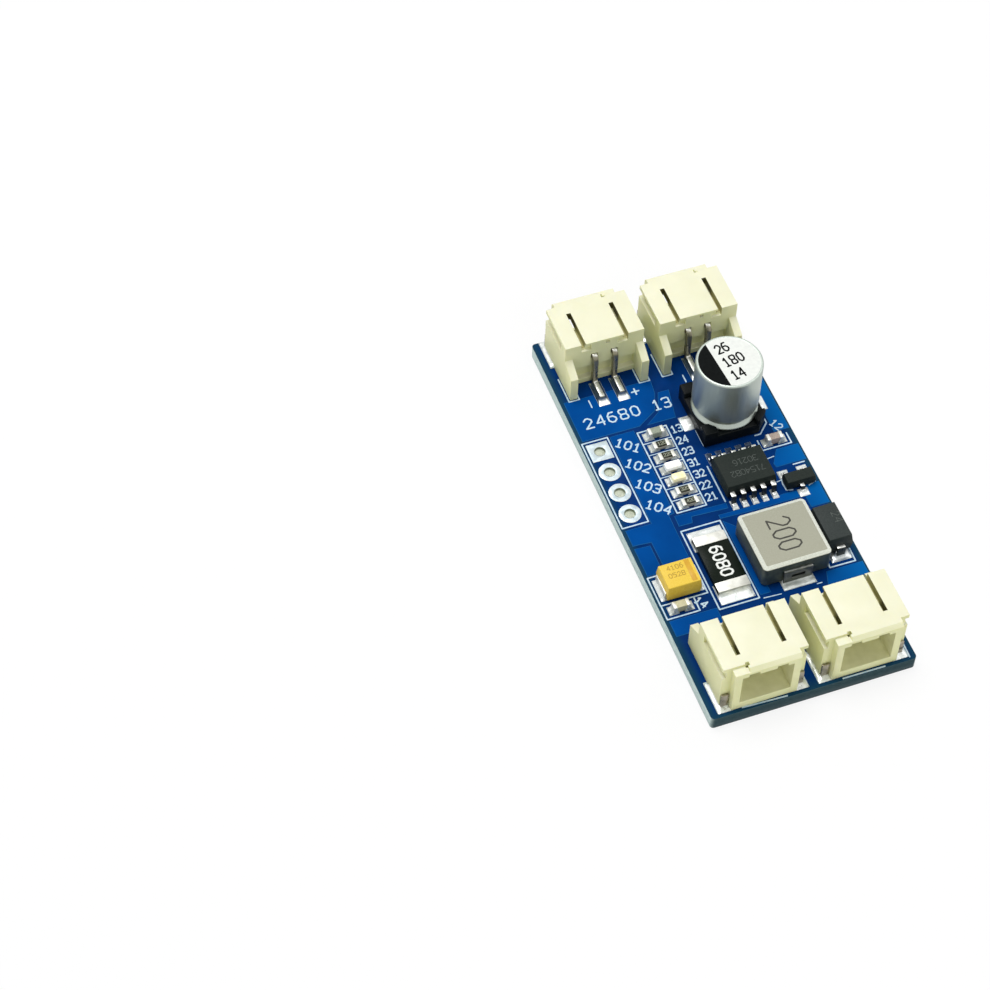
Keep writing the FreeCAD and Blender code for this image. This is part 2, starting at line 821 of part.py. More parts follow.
def make_gull_lead(label, start, belt_height, thickness, width, reach, pitch=None, count=None):
    """Leads that step out of a moulding towards +Y, down, and out again along the board."""
    body = new_body(label)
    offset = f"-({count} - 1) * {pitch} / 2" if count else "0"
    side = new_sketch(body, "YZ_Plane", offset)
    low = f"{belt_height} - {thickness} / 2"
    high = f"{belt_height} + {thickness} / 2"
    shoulder = f"{start} + {reach} * gull_shoulder_share"
    heel = f"{start} + {reach} * gull_heel_share"
    tip = f"{start} + {reach}"
    add_polygon(side, [
        (start, low), (shoulder, low), (heel, "0"), (tip, "0"),
        (tip, thickness), (f"{heel} + {thickness}", thickness),
        (f"{shoulder} + {thickness}", high), (start, high),
    ])
    strip = add_pad(body, side, width, symmetric=True)
    strip = round_corners(body, strip, side, (1, 5), f"{thickness} * gull_bend_share")
    strip = round_corners(body, strip, side, (2, 6), thickness)
    if count:
        pattern = body.newObject("PartDesign::LinearPattern", f"{label}_row")
        pattern.TransformMode = "Whole shape"
        pattern.Direction = (origin_plane(body, "X_Axis"), [""])
        pattern.Mode = "Spacing"
        bind(pattern, "Offset", pitch)
        bind(pattern, "Occurrences", count)
        body.Tip = pattern
    return body


def make_strap(label, start, belt_height, thickness, width, gap, under):
    """A strap that leaves a moulding towards +Y, drops down its end and turns in below it."""
    body = new_body(label)
    side = new_sketch(body, "YZ_Plane")
    inner = f"{start} + {gap}"
    outer = f"{start} + {gap} + {thickness}"
    add_polygon(side, [
        (start, f"{belt_height} - {thickness} / 2"), (inner, f"{belt_height} - {thickness} / 2"),
        (inner, thickness), (f"{start} - {under}", thickness), (f"{start} - {under}", "0"),
        (outer, "0"), (outer, f"{belt_height} + {thickness} / 2"),
        (start, f"{belt_height} + {thickness} / 2"),
    ])
    strip = add_pad(body, side, width, symmetric=True)
    round_corners(body, strip, side, (5, 6), f"{thickness} * strap_bend_share")
    return body


def make_electrolytic():
    radius = "can_diameter / 2"

    # The rolled can: bevelled foot, crimped groove above it, bevelled top edge.
    can = new_body("capacitor_can")
    profile = new_sketch(can, "XZ_Plane")
    foot = "base_height + base_clearance"
    bead = f"{foot} + can_bead_height"
    groove = f"{bead} + can_groove_lower"
    add_polygon(profile, [
        ("0", foot), (f"{radius} - can_foot_bevel", foot), (radius, f"{foot} + can_foot_bevel"),
        (radius, bead), (f"{radius} - can_groove_depth", groove),
        (radius, f"{groove} + can_groove_upper"), (radius, "can_height - can_edge_bevel"),
        (f"{radius} - can_edge_bevel", "can_height"), ("0", "can_height"),
    ])
    add_revolution(can, profile)
    seat(can, "capacitor_can", "can_x", "can_y")

    # The moulded base: a plate with corner posts, two corners cut off at the positive side.
    base = new_body("capacitor_base")
    plan = new_sketch(base, "XY_Plane")
    half = f"{CAN_SIDE} / 2"
    add_polygon(plan, [
        (f"-{half}", f"-{half}"), (f"{half} - base_chamfer", f"-{half}"),
        (half, f"-{half} + base_chamfer"), (half, f"{half} - base_chamfer"),
        (f"{half} - base_chamfer", half), (f"-{half}", half),
    ])
    add_pad(base, plan, "base_height + base_post_height")
    bowl = new_sketch(base, "XY_Plane", "base_height + base_post_height")
    add_circle(bowl, "0", "0", f"{radius} + base_clearance")
    add_pocket(base, bowl, "base_post_height")
    for role in ("XZ_Plane", "YZ_Plane"):
        between = new_sketch(base, role)
        opening = f"({half} - base_post_length)"
        add_rectangle(
            between, f"-{opening}", opening, "base_height",
            f"base_height + base_post_height + {SLACK}",
        )
        add_pocket(base, between, f"{CAN_SIDE} + {SLACK}", symmetric=True)
    channel = new_sketch(base, "YZ_Plane")
    add_rectangle(
        channel, "-can_lead_width / 2 - base_clearance", "can_lead_width / 2 + base_clearance",
        "0", "can_lead_thickness + base_clearance",
    )
    add_pocket(base, channel, f"{CAN_SIDE} + {SLACK}", symmetric=True)
    seat(base, "capacitor_base", "can_x", "can_y")

    for number, sign in ((1, "-"), (2, "+")):
        label = f"capacitor_lead_{number}"
        middle = f"can_x {sign} ({half} + can_lead_reach - can_lead_length / 2)"
        lead = add_block(
            label, *from_corner(middle, "can_y"), DECK, "can_lead_length", "can_lead_width",
            "can_lead_thickness",
        )
        keep(lead, label)
    add_land_pair(
        "can_x", "can_y", CAN_SIDE, "can_land_reach", "can_land_length", "can_land_width",
        along_y=False,
    )


def make_chip():
    body = make_moulding(
        "charger_chip_body", "chip_length", "chip_width", "chip_height", "chip_belt_height",
        "chip_lead_thickness", "chip_standoff", "mould_draft",
    )
    seat(body, "charger_chip_body", "chip_x", "chip_y")
    for side, turn, sign, extra in (
        ("far", 0, "+", "chip_far_land_extra"), ("near", 180, "-", "0"),
    ):
        label = f"charger_chip_{side}_leads"
        leads = make_gull_lead(
            label, "chip_width / 2", "chip_belt_height", "chip_lead_thickness",
            "chip_lead_width", "chip_lead_reach", "chip_lead_pitch", "chip_lead_count",
        )
        seat(leads, label, "chip_x", "chip_y", turn)
        middle = f"(chip_width + {extra}) / 2 + chip_lead_reach - chip_land_length / 4"
        for index in range(SIZES["chip_lead_count"]):
            land_x = f"chip_x + ({index} - (chip_lead_count - 1) / 2) * chip_lead_pitch"
            add_land(
                land_x, f"chip_y {sign} ({middle})", "chip_land_width",
                f"(chip_land_length + {extra})",
            )


def make_transistor():
    body = make_moulding(
        "transistor_body", "transistor_length", "transistor_width", "transistor_height",
        "transistor_belt_height", "transistor_lead_thickness", "transistor_lead_thickness / 2",
        "mould_draft",
    )
    seat(body, "transistor_body", "transistor_x", "transistor_y")
    spots = (
        ("transistor_x", 180, "-"),
        ("transistor_x - transistor_lead_pitch / 2", 0, "+"),
        ("transistor_x + transistor_lead_pitch / 2", 0, "+"),
    )
    for number, (x, turn, sign) in enumerate(spots, start=1):
        label = f"transistor_lead_{number}"
        lead = make_gull_lead(
            label, "transistor_width / 2", "transistor_belt_height",
            "transistor_lead_thickness", "transistor_lead_width", "transistor_lead_reach",
        )
        seat(lead, label, x, "transistor_y", turn)
        land_y = f"transistor_y {sign} (transistor_width / 2 + transistor_lead_reach)"
        add_land(x, land_y, "transistor_land_width", "transistor_land_length")


def make_strapped_part(name, metal, draft, along_y):
    """A moulded part with a strap folded round each end, and the lands under them."""
    x = f"{name}_x"
    y = f"{name}_y"
    length = f"{name}_length"
    thickness = f"{name}_{metal}_thickness"
    belt = f"{name}_belt_height"
    across = (f"{name}_width", length) if along_y else (length, f"{name}_width")
    body = make_moulding(
        f"{name}_body", *across, f"{name}_height", belt, thickness, thickness, draft
    )
    seat(body, f"{name}_body", x, y)
    turns = (180, 0) if along_y else (90, -90)
    for number, turn in enumerate(turns, start=1):
        label = f"{name}_{metal}_{number}"
        strap = make_strap(
            label, f"{length} / 2", belt, thickness, f"{name}_{metal}_width",
            f"{name}_{metal}_gap", f"{length} * strap_under_share",
        )
        seat(strap, label, x, y, turn)
    add_land_pair(
        x, y, length, f"{name}_land_reach", f"{name}_land_length", f"{name}_land_width", along_y
    )


def make_inductor():
    """A pressed-powder block with a rounded outline and a bevelled top, and two straps."""
    body = new_body("inductor_core")
    plan = new_sketch(body, "XY_Plane", "inductor_strap_thickness")
    add_rectangle(
        plan, "-inductor_width / 2", "inductor_width / 2", "-inductor_length / 2",
        "inductor_length / 2",
    )
    block = add_pad(body, plan, "inductor_height - inductor_strap_thickness")
    block = round_corners(body, block, plan, range(4), "inductor_corner_radius")
    doc.recompute()
    top = block.Shape.BoundBox.ZMax
    rim = [
        f"Edge{number}" for number, edge in enumerate(block.Shape.Edges, start=1)
        if abs(edge.BoundBox.ZMin - top) < 1e-6
    ]
    bevel_edges(body, block, rim, "inductor_edge_bevel")
    seat(body, "inductor_core", "inductor_x", "inductor_y")

    height = "inductor_strap_height - inductor_strap_thickness / 2"
    for number, turn in ((1, 180), (2, 0)):
        label = f"inductor_strap_{number}"
        strap = make_strap(
            label, "inductor_length / 2", f"({height})", "inductor_strap_thickness",
            "inductor_strap_width", "inductor_strap_gap", "inductor_length * strap_under_share",
        )
        window = new_sketch(strap, "XZ_Plane", "-inductor_length / 2")
        middle = "inductor_strap_height / 2"
        add_rectangle(
            window, "-inductor_window_width / 2", "inductor_window_width / 2",
            f"{middle} - inductor_window_height / 2", f"{middle} + inductor_window_height / 2",
        )
        add_pocket(strap, window, "inductor_strap_gap + 2 * inductor_strap_thickness")
        seat(strap, label, "inductor_x", "inductor_y", turn)
    add_land_pair(
        "inductor_x", "inductor_y", "inductor_length", "inductor_land_reach",
        "inductor_land_length", "inductor_land_width", along_y=True,
    )


def make_sense_resistor():
    """A flat ceramic block with a raised coat between two metal end caps."""
    end = "(sense_length / 2 - sense_cap_wall)"
    coat = "(sense_length / 2 - sense_cap_length)"
    body = new_body("sense_resistor_body")
    side = new_sketch(body, "YZ_Plane")
    shoulder = "sense_height - sense_cap_wall"
    add_polygon(side, [
        (f"-{end}", "sense_cap_wall"), (end, "sense_cap_wall"), (end, shoulder),
        (coat, shoulder), (coat, "sense_height"), (f"-{coat}", "sense_height"),
        (f"-{coat}", shoulder), (f"-{end}", shoulder),
    ])
    add_pad(body, side, "sense_width", symmetric=True)
    seat(body, "sense_resistor_body", "sense_x", "sense_y")

    for number, turn in ((1, 180), (2, 0)):
        label = f"sense_resistor_cap_{number}"
        cap = new_body(label)
        wrap = new_sketch(cap, "YZ_Plane")
        outer = "sense_length / 2"
        add_polygon(wrap, [
            (coat, "0"), (outer, "0"), (outer, "sense_height"), (coat, "sense_height"),
            (coat, shoulder), (end, shoulder), (end, "sense_cap_wall"), (coat, "sense_cap_wall"),
        ])
        add_pad(cap, wrap, "sense_width", symmetric=True)
        seat(cap, label, "sense_x", "sense_y", turn)
    add_land_pair(
        "sense_x", "sense_y", "sense_length", "sense_land_reach", "sense_land_length",
        "sense_land_width", along_y=True,
    )


# Small chips

def add_end_blocks(name, height):
    """The two metal ends of a small chip."""
    ends = []
    for number, sign in ((1, "-"), (2, "+")):
        middle = f"{sign} (small_length - small_cap_length) / 2"
        ends.append(add_block(
            f"{name}_end_{number}", middle, "0", "0", "small_cap_length", "small_width", height
        ))
    return ends


def make_small_resistor(name):
    middle = add_block(
        f"{name}_middle", "0", "0", "small_resistor_recess", "small_length - small_cap_length",
        "small_width - 2 * small_resistor_recess",
        "small_resistor_height - 2 * small_resistor_recess",
    )
    return add_union(name, [middle] + add_end_blocks(name, "small_resistor_height"))


def make_small_ceramic(name):
    body = new_body(name)
    outline = new_sketch(body, "XY_Plane")
    add_rectangle(
        outline, "-small_length / 2", "small_length / 2", "-small_width / 2", "small_width / 2"
    )
    block = add_pad(body, outline, "small_ceramic_height")
    doc.recompute()
    edges = [f"Edge{number}" for number in range(1, len(block.Shape.Edges) + 1)]
    bevel_edges(body, block, edges, "small_ceramic_edge")
    return body


def make_lamp(name):
    """An indicator lamp: a carrier with notched metal ends and a clear tapered block on it."""
    carrier = add_block(
        f"{name}_carrier", "0", "0", "0", "small_length", "small_width", "lamp_base_height"
    )
    notches = []
    for number, sign in ((1, "-"), (2, "+")):
        notches.append(add_cylinder(
            f"{name}_notch_{number}", f"{sign} small_length / 2", "0", "0",
            "lamp_notch_radius", "lamp_base_height",
        ))
    notched = add_cut(f"{name}_notched", carrier, add_union(f"{name}_notches", notches))
    lens = doc.addObject("Part::Wedge", f"{name}_lens")
    rise = "(lamp_height - lamp_base_height)"
    bounds = {
        "Xmin": "0", "Xmax": "lamp_lens_length", "Zmin": "0", "Zmax": "small_width",
        "Ymin": "0", "Ymax": rise,
        "X2min": "lamp_lens_taper", "X2max": "lamp_lens_length - lamp_lens_taper",
        "Z2min": "lamp_lens_taper", "Z2max": "small_width - lamp_lens_taper",
    }
    for bound, formula in bounds.items():
        bind(lens, bound, formula)
    lens.Placement.Rotation = FreeCAD.Rotation(FreeCAD.Vector(1, 0, 0), 90)
    bind(lens, "Placement.Base.x", "-lamp_lens_length / 2")
    bind(lens, "Placement.Base.y", "small_width / 2")
    bind(lens, "Placement.Base.z", "lamp_base_height")
    return add_union(name, [notched, lens])


def make_small_parts():
    makers = {
        "resistor": make_small_resistor, "ceramic": make_small_ceramic, "lamp": make_lamp
    }
    ladder = (
        ("chip_resistor_4", "resistor"), ("chip_resistor_3", "resistor"),
        ("indicator_lamp_2", "lamp"), ("indicator_lamp_1", "lamp"),
        ("chip_resistor_2", "resistor"), ("chip_resistor_1", "resistor"),
        ("ceramic_capacitor_1", "ceramic"),
    )
    spots = [
        (label, kind, "ladder_x", f"ladder_y + {rung} * ladder_pitch")
        for rung, (label, kind) in enumerate(ladder)
    ]
    spots.append(("ceramic_capacitor_2", "ceramic", "right_ceramic_x", "right_ceramic_y"))
    spots.append(("ceramic_capacitor_3", "ceramic", "left_ceramic_x", "left_ceramic_y"))
    for label, kind, x, y in spots:
        seat(makers[kind](label), label, x, y)
        add_land_pair(
            x, y, "small_length", "small_land_reach", "small_land_length", "small_land_width",
            along_y=False,
        )


settle_places()
make_board()
make_header_eyelets()
make_sockets()
make_electrolytic()
make_chip()
make_transistor()
make_strapped_part("diode", "lead", "mould_draft", along_y=True)
make_strapped_part("tantalum", "strap", "tantalum_draft", along_y=False)
make_inductor()
make_sense_resistor()
make_small_parts()
tinned_lands = doc.addObject("Part::Compound", "tinned_lands")
tinned_lands.Links = lands
keep(tinned_lands, "tinned_lands")

doc.recompute()
for thing in doc.Objects:
    if "Invalid" in thing.State or "Error" in thing.State:
        raise RuntimeError(f"{thing.Label} failed: {thing.State}")
for cut in cuts:
    if cut.Shape.Volume >= cut.BaseFeature.Shape.Volume:
        raise RuntimeError(f"{cut.Label} cuts nothing")
os.makedirs("parts", exist_ok=True)
for node in nodes:
    if node.Shape.isNull() or not node.Shape.isValid():
        raise RuntimeError(f"{node.Label} has no valid shape")
    node.Shape.exportStep(f"parts/{node.Label}.step")
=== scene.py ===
import math

import bmesh
import bpy
from mathutils import Matrix, Quaternion, Vector


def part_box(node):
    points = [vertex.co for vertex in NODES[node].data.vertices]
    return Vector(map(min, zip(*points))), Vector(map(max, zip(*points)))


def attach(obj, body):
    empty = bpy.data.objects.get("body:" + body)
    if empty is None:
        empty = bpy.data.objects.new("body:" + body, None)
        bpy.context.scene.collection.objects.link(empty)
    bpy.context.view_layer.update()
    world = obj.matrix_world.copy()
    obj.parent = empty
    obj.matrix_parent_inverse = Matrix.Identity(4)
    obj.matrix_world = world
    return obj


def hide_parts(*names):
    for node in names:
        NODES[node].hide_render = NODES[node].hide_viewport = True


# A battery charger module on a white table: a blue circuit board with ivory wire sockets,
# a tall electrolytic capacitor, a power inductor and the small parts of a charging circuit.
# Lengths are in metres. Places on the board are written in millimetres from its near left
# corner, X along the short edge and Y along the long one.

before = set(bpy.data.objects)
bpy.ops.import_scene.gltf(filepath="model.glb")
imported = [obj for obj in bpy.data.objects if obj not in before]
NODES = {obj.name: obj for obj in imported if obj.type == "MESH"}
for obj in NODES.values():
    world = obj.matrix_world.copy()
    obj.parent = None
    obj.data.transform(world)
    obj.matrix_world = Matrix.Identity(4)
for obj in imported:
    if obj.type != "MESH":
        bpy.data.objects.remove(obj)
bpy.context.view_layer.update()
MM = 0.001
BOARD_LOW, BOARD_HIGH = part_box("circuit_board")
BOARD_TOP = BOARD_HIGH.z
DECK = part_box("tinned_lands")[1].z
HEADER_PITCH = 2.54
INK = 0.006 * MM


# Camera, lamps and table

CAMERA_PLACE = Vector((-68.17, -124.5, 185.17)) * MM
CAMERA_AZIMUTH = math.radians(20.5)
CAMERA_ELEVATION = math.radians(52.71)
CAMERA_ROLL = math.radians(0.98)
CAMERA_LENS = 91.55

# The world's light on the module, where 1 is white, and the share of the table's white that
# it shows by itself, so that only the rest takes the shadow.
WORLD_LIGHT = 0.42
TABLE_GLOW = 0.84


def new_object(name, data):
    made = bpy.data.objects.new(name, data)
    bpy.context.scene.collection.objects.link(made)
    return made


def make_camera():
    camera = new_object("camera", bpy.data.cameras.new("camera"))
    bpy.context.scene.camera = camera
    camera.data.lens = CAMERA_LENS
    camera.data.clip_start = 0.01
    forward = Vector((
        math.sin(CAMERA_AZIMUTH) * math.cos(CAMERA_ELEVATION),
        math.cos(CAMERA_AZIMUTH) * math.cos(CAMERA_ELEVATION),
        -math.sin(CAMERA_ELEVATION),
    ))
    camera.location = CAMERA_PLACE
    camera.rotation_mode = "QUATERNION"
    level = forward.to_track_quat("-Z", "Y")
    camera.rotation_quaternion = level @ Quaternion((0, 0, 1), CAMERA_ROLL)


def srgb(code):
    """The linear colour, with alpha, of an sRGB hex code."""
    parts = [int(code[i:i + 2], 16) / 255 for i in (1, 3, 5)]
    linear = [p / 12.92 if p <= 0.04045 else ((p + 0.055) / 1.055) ** 2.4 for p in parts]
    return (*linear, 1)


def feed(value, socket):
    """Set an input to a value, or link it to a socket or to a node's first output in use."""
    if isinstance(value, bpy.types.Node):
        value = next(output for output in value.outputs if output.enabled)
    if isinstance(value, bpy.types.NodeSocket):
        socket.id_data.links.new(value, socket)
    else:
        socket.default_value = value


def add_node(tree, kind, inputs=None, **settings):
    """Add a node with its settings, its inputs set to values or fed by other nodes.

    The kinds of shader nodes are given without their common first part, and every mix here
    is of colours.
    """
    whole = kind.startswith(("GeometryNode", "FunctionNode", "NodeGroup"))
    made = tree.nodes.new(kind if whole else f"ShaderNode{kind}")
    if kind == "Mix":
        made.data_type = "RGBA"
    for name, value in settings.items():
        setattr(made, name, value)
    for name, value in (inputs or {}).items():
        feed(value, made.inputs[name])
    return made


def work_out(tree, kind, value, *steps):
    """Feed a value through operations of a kind, each with the second value it may take."""
    for operation, *others in steps:
        value = add_node(tree, kind, {0: value, **dict(enumerate(others, 1))}, operation=operation)
    return value


def seen_directly(tree):
    """1 for rays that show the surroundings: from the camera, off metal or through resin."""
    path = add_node(tree, "LightPath").outputs
    return work_out(
        tree, "Math", path["Is Camera Ray"], ("MAXIMUM", path["Is Glossy Ray"]),
        ("MAXIMUM", path["Is Transmission Ray"]),
    )


def make_lamps():
    world = bpy.data.worlds.new("studio")
    bpy.context.scene.world = world
    world.use_nodes = True
    tree = world.node_tree
    level = add_node(tree, "MapRange", {"Value": seen_directly(tree), "To Min": WORLD_LIGHT})
    backdrop = tree.nodes["Background"].inputs
    feed((1, 1, 1, 1), backdrop["Color"])
    feed(level, backdrop["Strength"])

    # Name, place in metres, width and power in watts. Each lamp points at the module, and the
    # front one lifts the near walls without showing in the metal.
    lamps = (
        ("key", (-0.08, 0.13, 0.55), 0.34, 1.95),
        ("fill", (0.38, 0.05, 0.42), 0.40, 0.5),
        ("front", (0.1, -0.42, 0.34), 0.30, 0.45),
    )
    for name, place, width, power in lamps:
        light = bpy.data.lights.new(name, "AREA")
        light.shape, light.size, light.energy = "DISK", width, power
        lamp = new_object(name, light)
        lamp.location = place
        lamp.visible_glossy = name != "front"
        lamp.rotation_euler = Vector(place).to_track_quat("Z", "Y").to_euler()


def make_table():
    """A wide white floor that keeps a soft shadow and reads as the white background."""
    bpy.ops.mesh.primitive_grid_add(size=6, x_subdivisions=2, y_subdivisions=2)
    floor = bpy.context.object
    floor.name = "floor"
    floor.location.z = BOARD_LOW.z
    paint = bpy.data.materials.new("white matt table")
    paint.use_nodes = True
    tree = paint.node_tree
    tree.nodes.clear()
    share = work_out(tree, "Math", seen_directly(tree), ("MULTIPLY", TABLE_GLOW))
    matt = add_node(tree, "BsdfDiffuse", {"Color": (0.9, 0.9, 0.9, 1)})
    white = add_node(tree, "Emission", {"Color": (1, 1, 1, 1), "Strength": 1.0})
    both = add_node(tree, "MixShader", {0: share, 1: matt, 2: white})
    add_node(tree, "OutputMaterial", {"Surface": both})
    floor.data.materials.append(paint)


# Finishes

def shader_inputs(tree):
    return tree.nodes["Principled BSDF"].inputs


def start_finish(name, colour, roughness, **inputs):
    """A material with its uniform values, and where a pattern reads its place."""
    material = bpy.data.materials.new(name)
    material.use_nodes = True
    tree = material.node_tree
    for label, value in {"Base Color": srgb(colour), "Roughness": roughness, **inputs}.items():
        feed(value, shader_inputs(tree)[label.replace("_", " ")])
    return material, tree, add_node(tree, "TexCoord")


# Nearly all of a noise lies between these values.
NOISE_RANGE = {"From Min": 0.3, "From Max": 0.7}


def mottle(tree, place, size, dark, pale, detail=3.0, slot="Object"):
    """Cloudy variation between two colours, in patches of a size in metres."""
    cloud = add_node(
        tree, "TexNoise", {"Vector": place.outputs[slot], "Scale": 1 / size, "Detail": detail}
    )
    spread = add_node(tree, "MapRange", {"Value": cloud, **NOISE_RANGE})
    return add_node(tree, "Mix", {0: spread, 6: srgb(dark), 7: srgb(pale)})


def vary_roughness(tree, place, size, low, high):
    cloud = add_node(tree, "TexNoise", {"Vector": place.outputs["Object"], "Scale": 1 / size})
    level = add_node(
        tree, "MapRange", {"Value": cloud, **NOISE_RANGE, "To Min": low, "To Max": high}
    )
    feed(level, shader_inputs(tree)["Roughness"])


def surface(material, tree, place, colour, size, height, strength=1.0):
    """Give a finish its colour and fine grains of a size and height, and return it."""
    grains = add_node(
        tree, "TexNoise", {"Vector": place.outputs["Object"], "Scale": 1 / size, "Detail": 4.0}
    )
    bump = add_node(tree, "Bump", {"Height": grains, "Distance": height, "Strength": strength})
    feed(colour, shader_inputs(tree)["Base Color"])
    feed(bump, shader_inputs(tree)["Normal"])
    return material


def past(tree, vector, axis, start, end, most=1.0, mirrored=True):
    """How far a vector reaches from start to end along an axis, from 0 to the most."""
    reach = add_node(tree, "SeparateXYZ", {0: vector}).outputs[axis]
    if mirrored:
        reach = work_out(tree, "Math", reach, ("ABSOLUTE",))
    return add_node(
        tree, "MapRange", {"Value": reach, "From Min": start, "From Max": end, "To Max": most}
    )


def facing_up(tree, place, start=0.5, end=0.9):
    """How far the surface faces up or down, from 0 on a wall to 1 on a level face."""
    return past(tree, place.outputs["Normal"], "Z", start, end)


def laminate_finish():
    # Blue liquid solder mask over woven glass laminate: a smooth film, darker where no copper
    # lies under it, and greyer along the board's outline. The bare edges are pale and fibrous,
    # and on the short sides a darker colour is painted shade.
    material, tree, place = start_finish(
        "blue solder mask on glass laminate", "#02306B", 0.34, Specular_IOR_Level=0.02
    )
    spread = place.outputs["Object"]
    even = mottle(tree, place, 3 * MM, "#022B62", "#033577")
    sides = past(tree, spread, "X", 8.9 * MM, 9.6 * MM)
    ends = past(tree, spread, "Y", 21.2 * MM, 22.4 * MM)
    rim = work_out(tree, "Math", sides, ("MAXIMUM", ends))
    mask = add_node(tree, "Mix", {0: rim, 6: even, 7: srgb("#173F58")})
    fibres = add_node(tree, "Mapping", {"Vector": spread, "Scale": (1, 1, 14)})
    pale_edge_fibres = mottle(tree, fibres, 0.9 * MM, "#AAC1C0", "#E2F3EE", slot=0)
    # Painted shade: the short edges take a darker colour than the long ones.
    short_edges_shade = mottle(tree, fibres, 0.5 * MM, "#22383D", "#40585F", slot=0)
    turn = past(tree, place.outputs["Normal"], "Y", 0, 1)
    edges = add_node(tree, "Mix", {0: turn, 6: pale_edge_fibres, 7: short_edges_shade})
    blend = add_node(tree, "Mix", {0: facing_up(tree, place), 6: edges, 7: mask})
    return surface(material, tree, place, blend, 0.5 * MM, 0.004 * MM, 0.6)


def mask_on_copper_finish():
    # The same mask over copper: brighter, more so towards the board's right side, with the
    # weave showing as a faint unevenness. At the copper's edge it turns a paler blue, partly the
    # mask thinning there and partly a painted highlight.
    material, tree, place = start_finish(
        "blue solder mask on copper", "#014A97", 0.34, Specular_IOR_Level=0.02
    )
    even = mottle(tree, place, 4 * MM, "#014085", "#014C99")
    right = past(tree, place.outputs["Object"], "X", 5 * MM, 9.5 * MM, 0.7, mirrored=False)
    level = add_node(tree, "Mix", {0: right, 6: even, 7: srgb("#0565AC")})
    flat = facing_up(tree, place, 0.93, 0.995)
    blend = add_node(tree, "Mix", {0: flat, 6: srgb("#1E5E94"), 7: level})
    return surface(material, tree, place, blend, 0.5 * MM, 0.004 * MM, 0.6)


def ivory_finish():
    # Moulded polyester in its natural ivory: satin, slightly waxy, with light under the skin.
    # Where it faces up it is painted paler, as painted light, and its walls a deeper yellow, as
    # painted shade.
    material, tree, place = start_finish(
        "natural ivory moulded polyester", "#E7E8B2", 0.42, Subsurface_Weight=0.15,
        Subsurface_Radius=(0.9, 0.75, 0.35), Subsurface_Scale=0.15 * MM,
    )
    shaded_walls = mottle(tree, place, 2.4 * MM, "#E4E5AC", "#EAEAB6")
    tops = mottle(tree, place, 2.4 * MM, "#E6E5C6", "#EBEACE")
    blend = add_node(tree, "Mix", {0: facing_up(tree, place), 6: shaded_walls, 7: tops})
    return surface(material, tree, place, blend, 0.09 * MM, 0.004 * MM, 0.7)


def shaded_recess_finish(name, dark, pale, cut_shade=None):
    # The same ivory inside recesses that steel cores left, painted deeper and duller as shade,
    # and darkest towards the mating end of a slot, where a cut goes through to the mouth.
    material, tree, place = start_finish(name, pale, 0.6, Specular_IOR_Level=0.1)
    skin = mottle(tree, place, 0.8 * MM, dark, pale)
    if cut_shade:
        outward = past(tree, place.outputs["Object"], "Y", 18.7 * MM, 19.3 * MM)
        skin = add_node(tree, "Mix", {0: outward, 6: skin, 7: srgb(cut_shade)})
    return surface(material, tree, place, skin, 0.09 * MM, 0.004 * MM, 0.7)


def tin_finish(name, dark, pale, low, high, metal, dent=0.005 * MM, grain=0.3 * MM, wall=None):
    # Tin over copper alloy: bright, a little soft and uneven where it was melted on. Its
    # frosted skin scatters part of the light, so it is less than fully metallic. A colour for
    # steep sides paints light on them: painted dark reflections on pins, leads and solder, and
    # painted light down an eyelet's bore.
    material, tree, place = start_finish(name, pale, low, Metallic=metal)
    coat = mottle(tree, place, 0.6 * MM, dark, pale)
    if wall:
        coat = add_node(
            tree, "Mix", {0: facing_up(tree, place, 0.75, 0.96), 6: srgb(wall), 7: coat}
        )
    vary_roughness(tree, place, 0.5 * MM, low, high)
    return surface(material, tree, place, coat, grain, dent)


def paint_bore_rims(material, node, pitch):
    """Add a dark ring round each bore of a row, on its rim and down into the bore: a painted dark
    reflection at the bore's edge.
    """
    tree = material.node_tree
    colour = shader_inputs(tree)["Base Color"]
    coat = colour.links[0].from_socket
    low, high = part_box(node)
    centre = (low + high) / 2
    place = add_node(tree, "TexCoord")
    moved = add_node(
        tree, "Mapping",
        {"Vector": place.outputs["Object"], "Location": (-centre.x, pitch / 2 - centre.y, 0)},
    )
    split = add_node(tree, "SeparateXYZ", {0: moved}).outputs
    aside = work_out(tree, "Math", split["Y"], ("FLOORED_MODULO", pitch), ("SUBTRACT", pitch / 2))
    flat = add_node(tree, "CombineXYZ", {0: split["X"], 1: aside})
    radius = work_out(tree, "VectorMath", flat, ("LENGTH",))
    inward = add_node(
        tree, "MapRange", {"Value": radius, "From Min": 0.58 * MM, "From Max": 0.51 * MM}
    )
    upper = past(tree, moved, "Z", high.z - 0.42 * MM, high.z - 0.2 * MM, mirrored=False)
    ring = work_out(tree, "Math", inward, ("MULTIPLY", upper))
    coated = add_node(tree, "Mix", {0: ring, 6: coat, 7: srgb("#6F7764")})
    feed(coated, colour)


def can_finish():
    # Drawn and washed aluminium: satin, with faint streaks along the draw.
    material, tree, place = start_finish("drawn aluminium", "#B4BDB5", 0.46, Metallic=0.9)
    along = add_node(tree, "Mapping", {"Vector": place.outputs["Object"], "Scale": (1, 1, 0.06)})
    streaks = add_node(tree, "TexNoise", {"Vector": along, "Scale": 1 / (0.16 * MM), "Detail": 3.0})
    blend = add_node(tree, "Mix", {0: streaks, 6: srgb("#AEB7AF"), 7: srgb("#BBC4BC")})
    coat = shader_inputs(tree)
    feed(blend, coat["Base Color"])
    level = add_node(tree, "MapRange", {"Value": streaks, "To Min": 0.37, "To Max": 0.46})
    feed(level, coat["Roughness"])
    bump = add_node(tree, "Bump", {"Height": streaks, "Distance": 0.001 * MM})
    feed(bump, coat["Normal"])
    return material


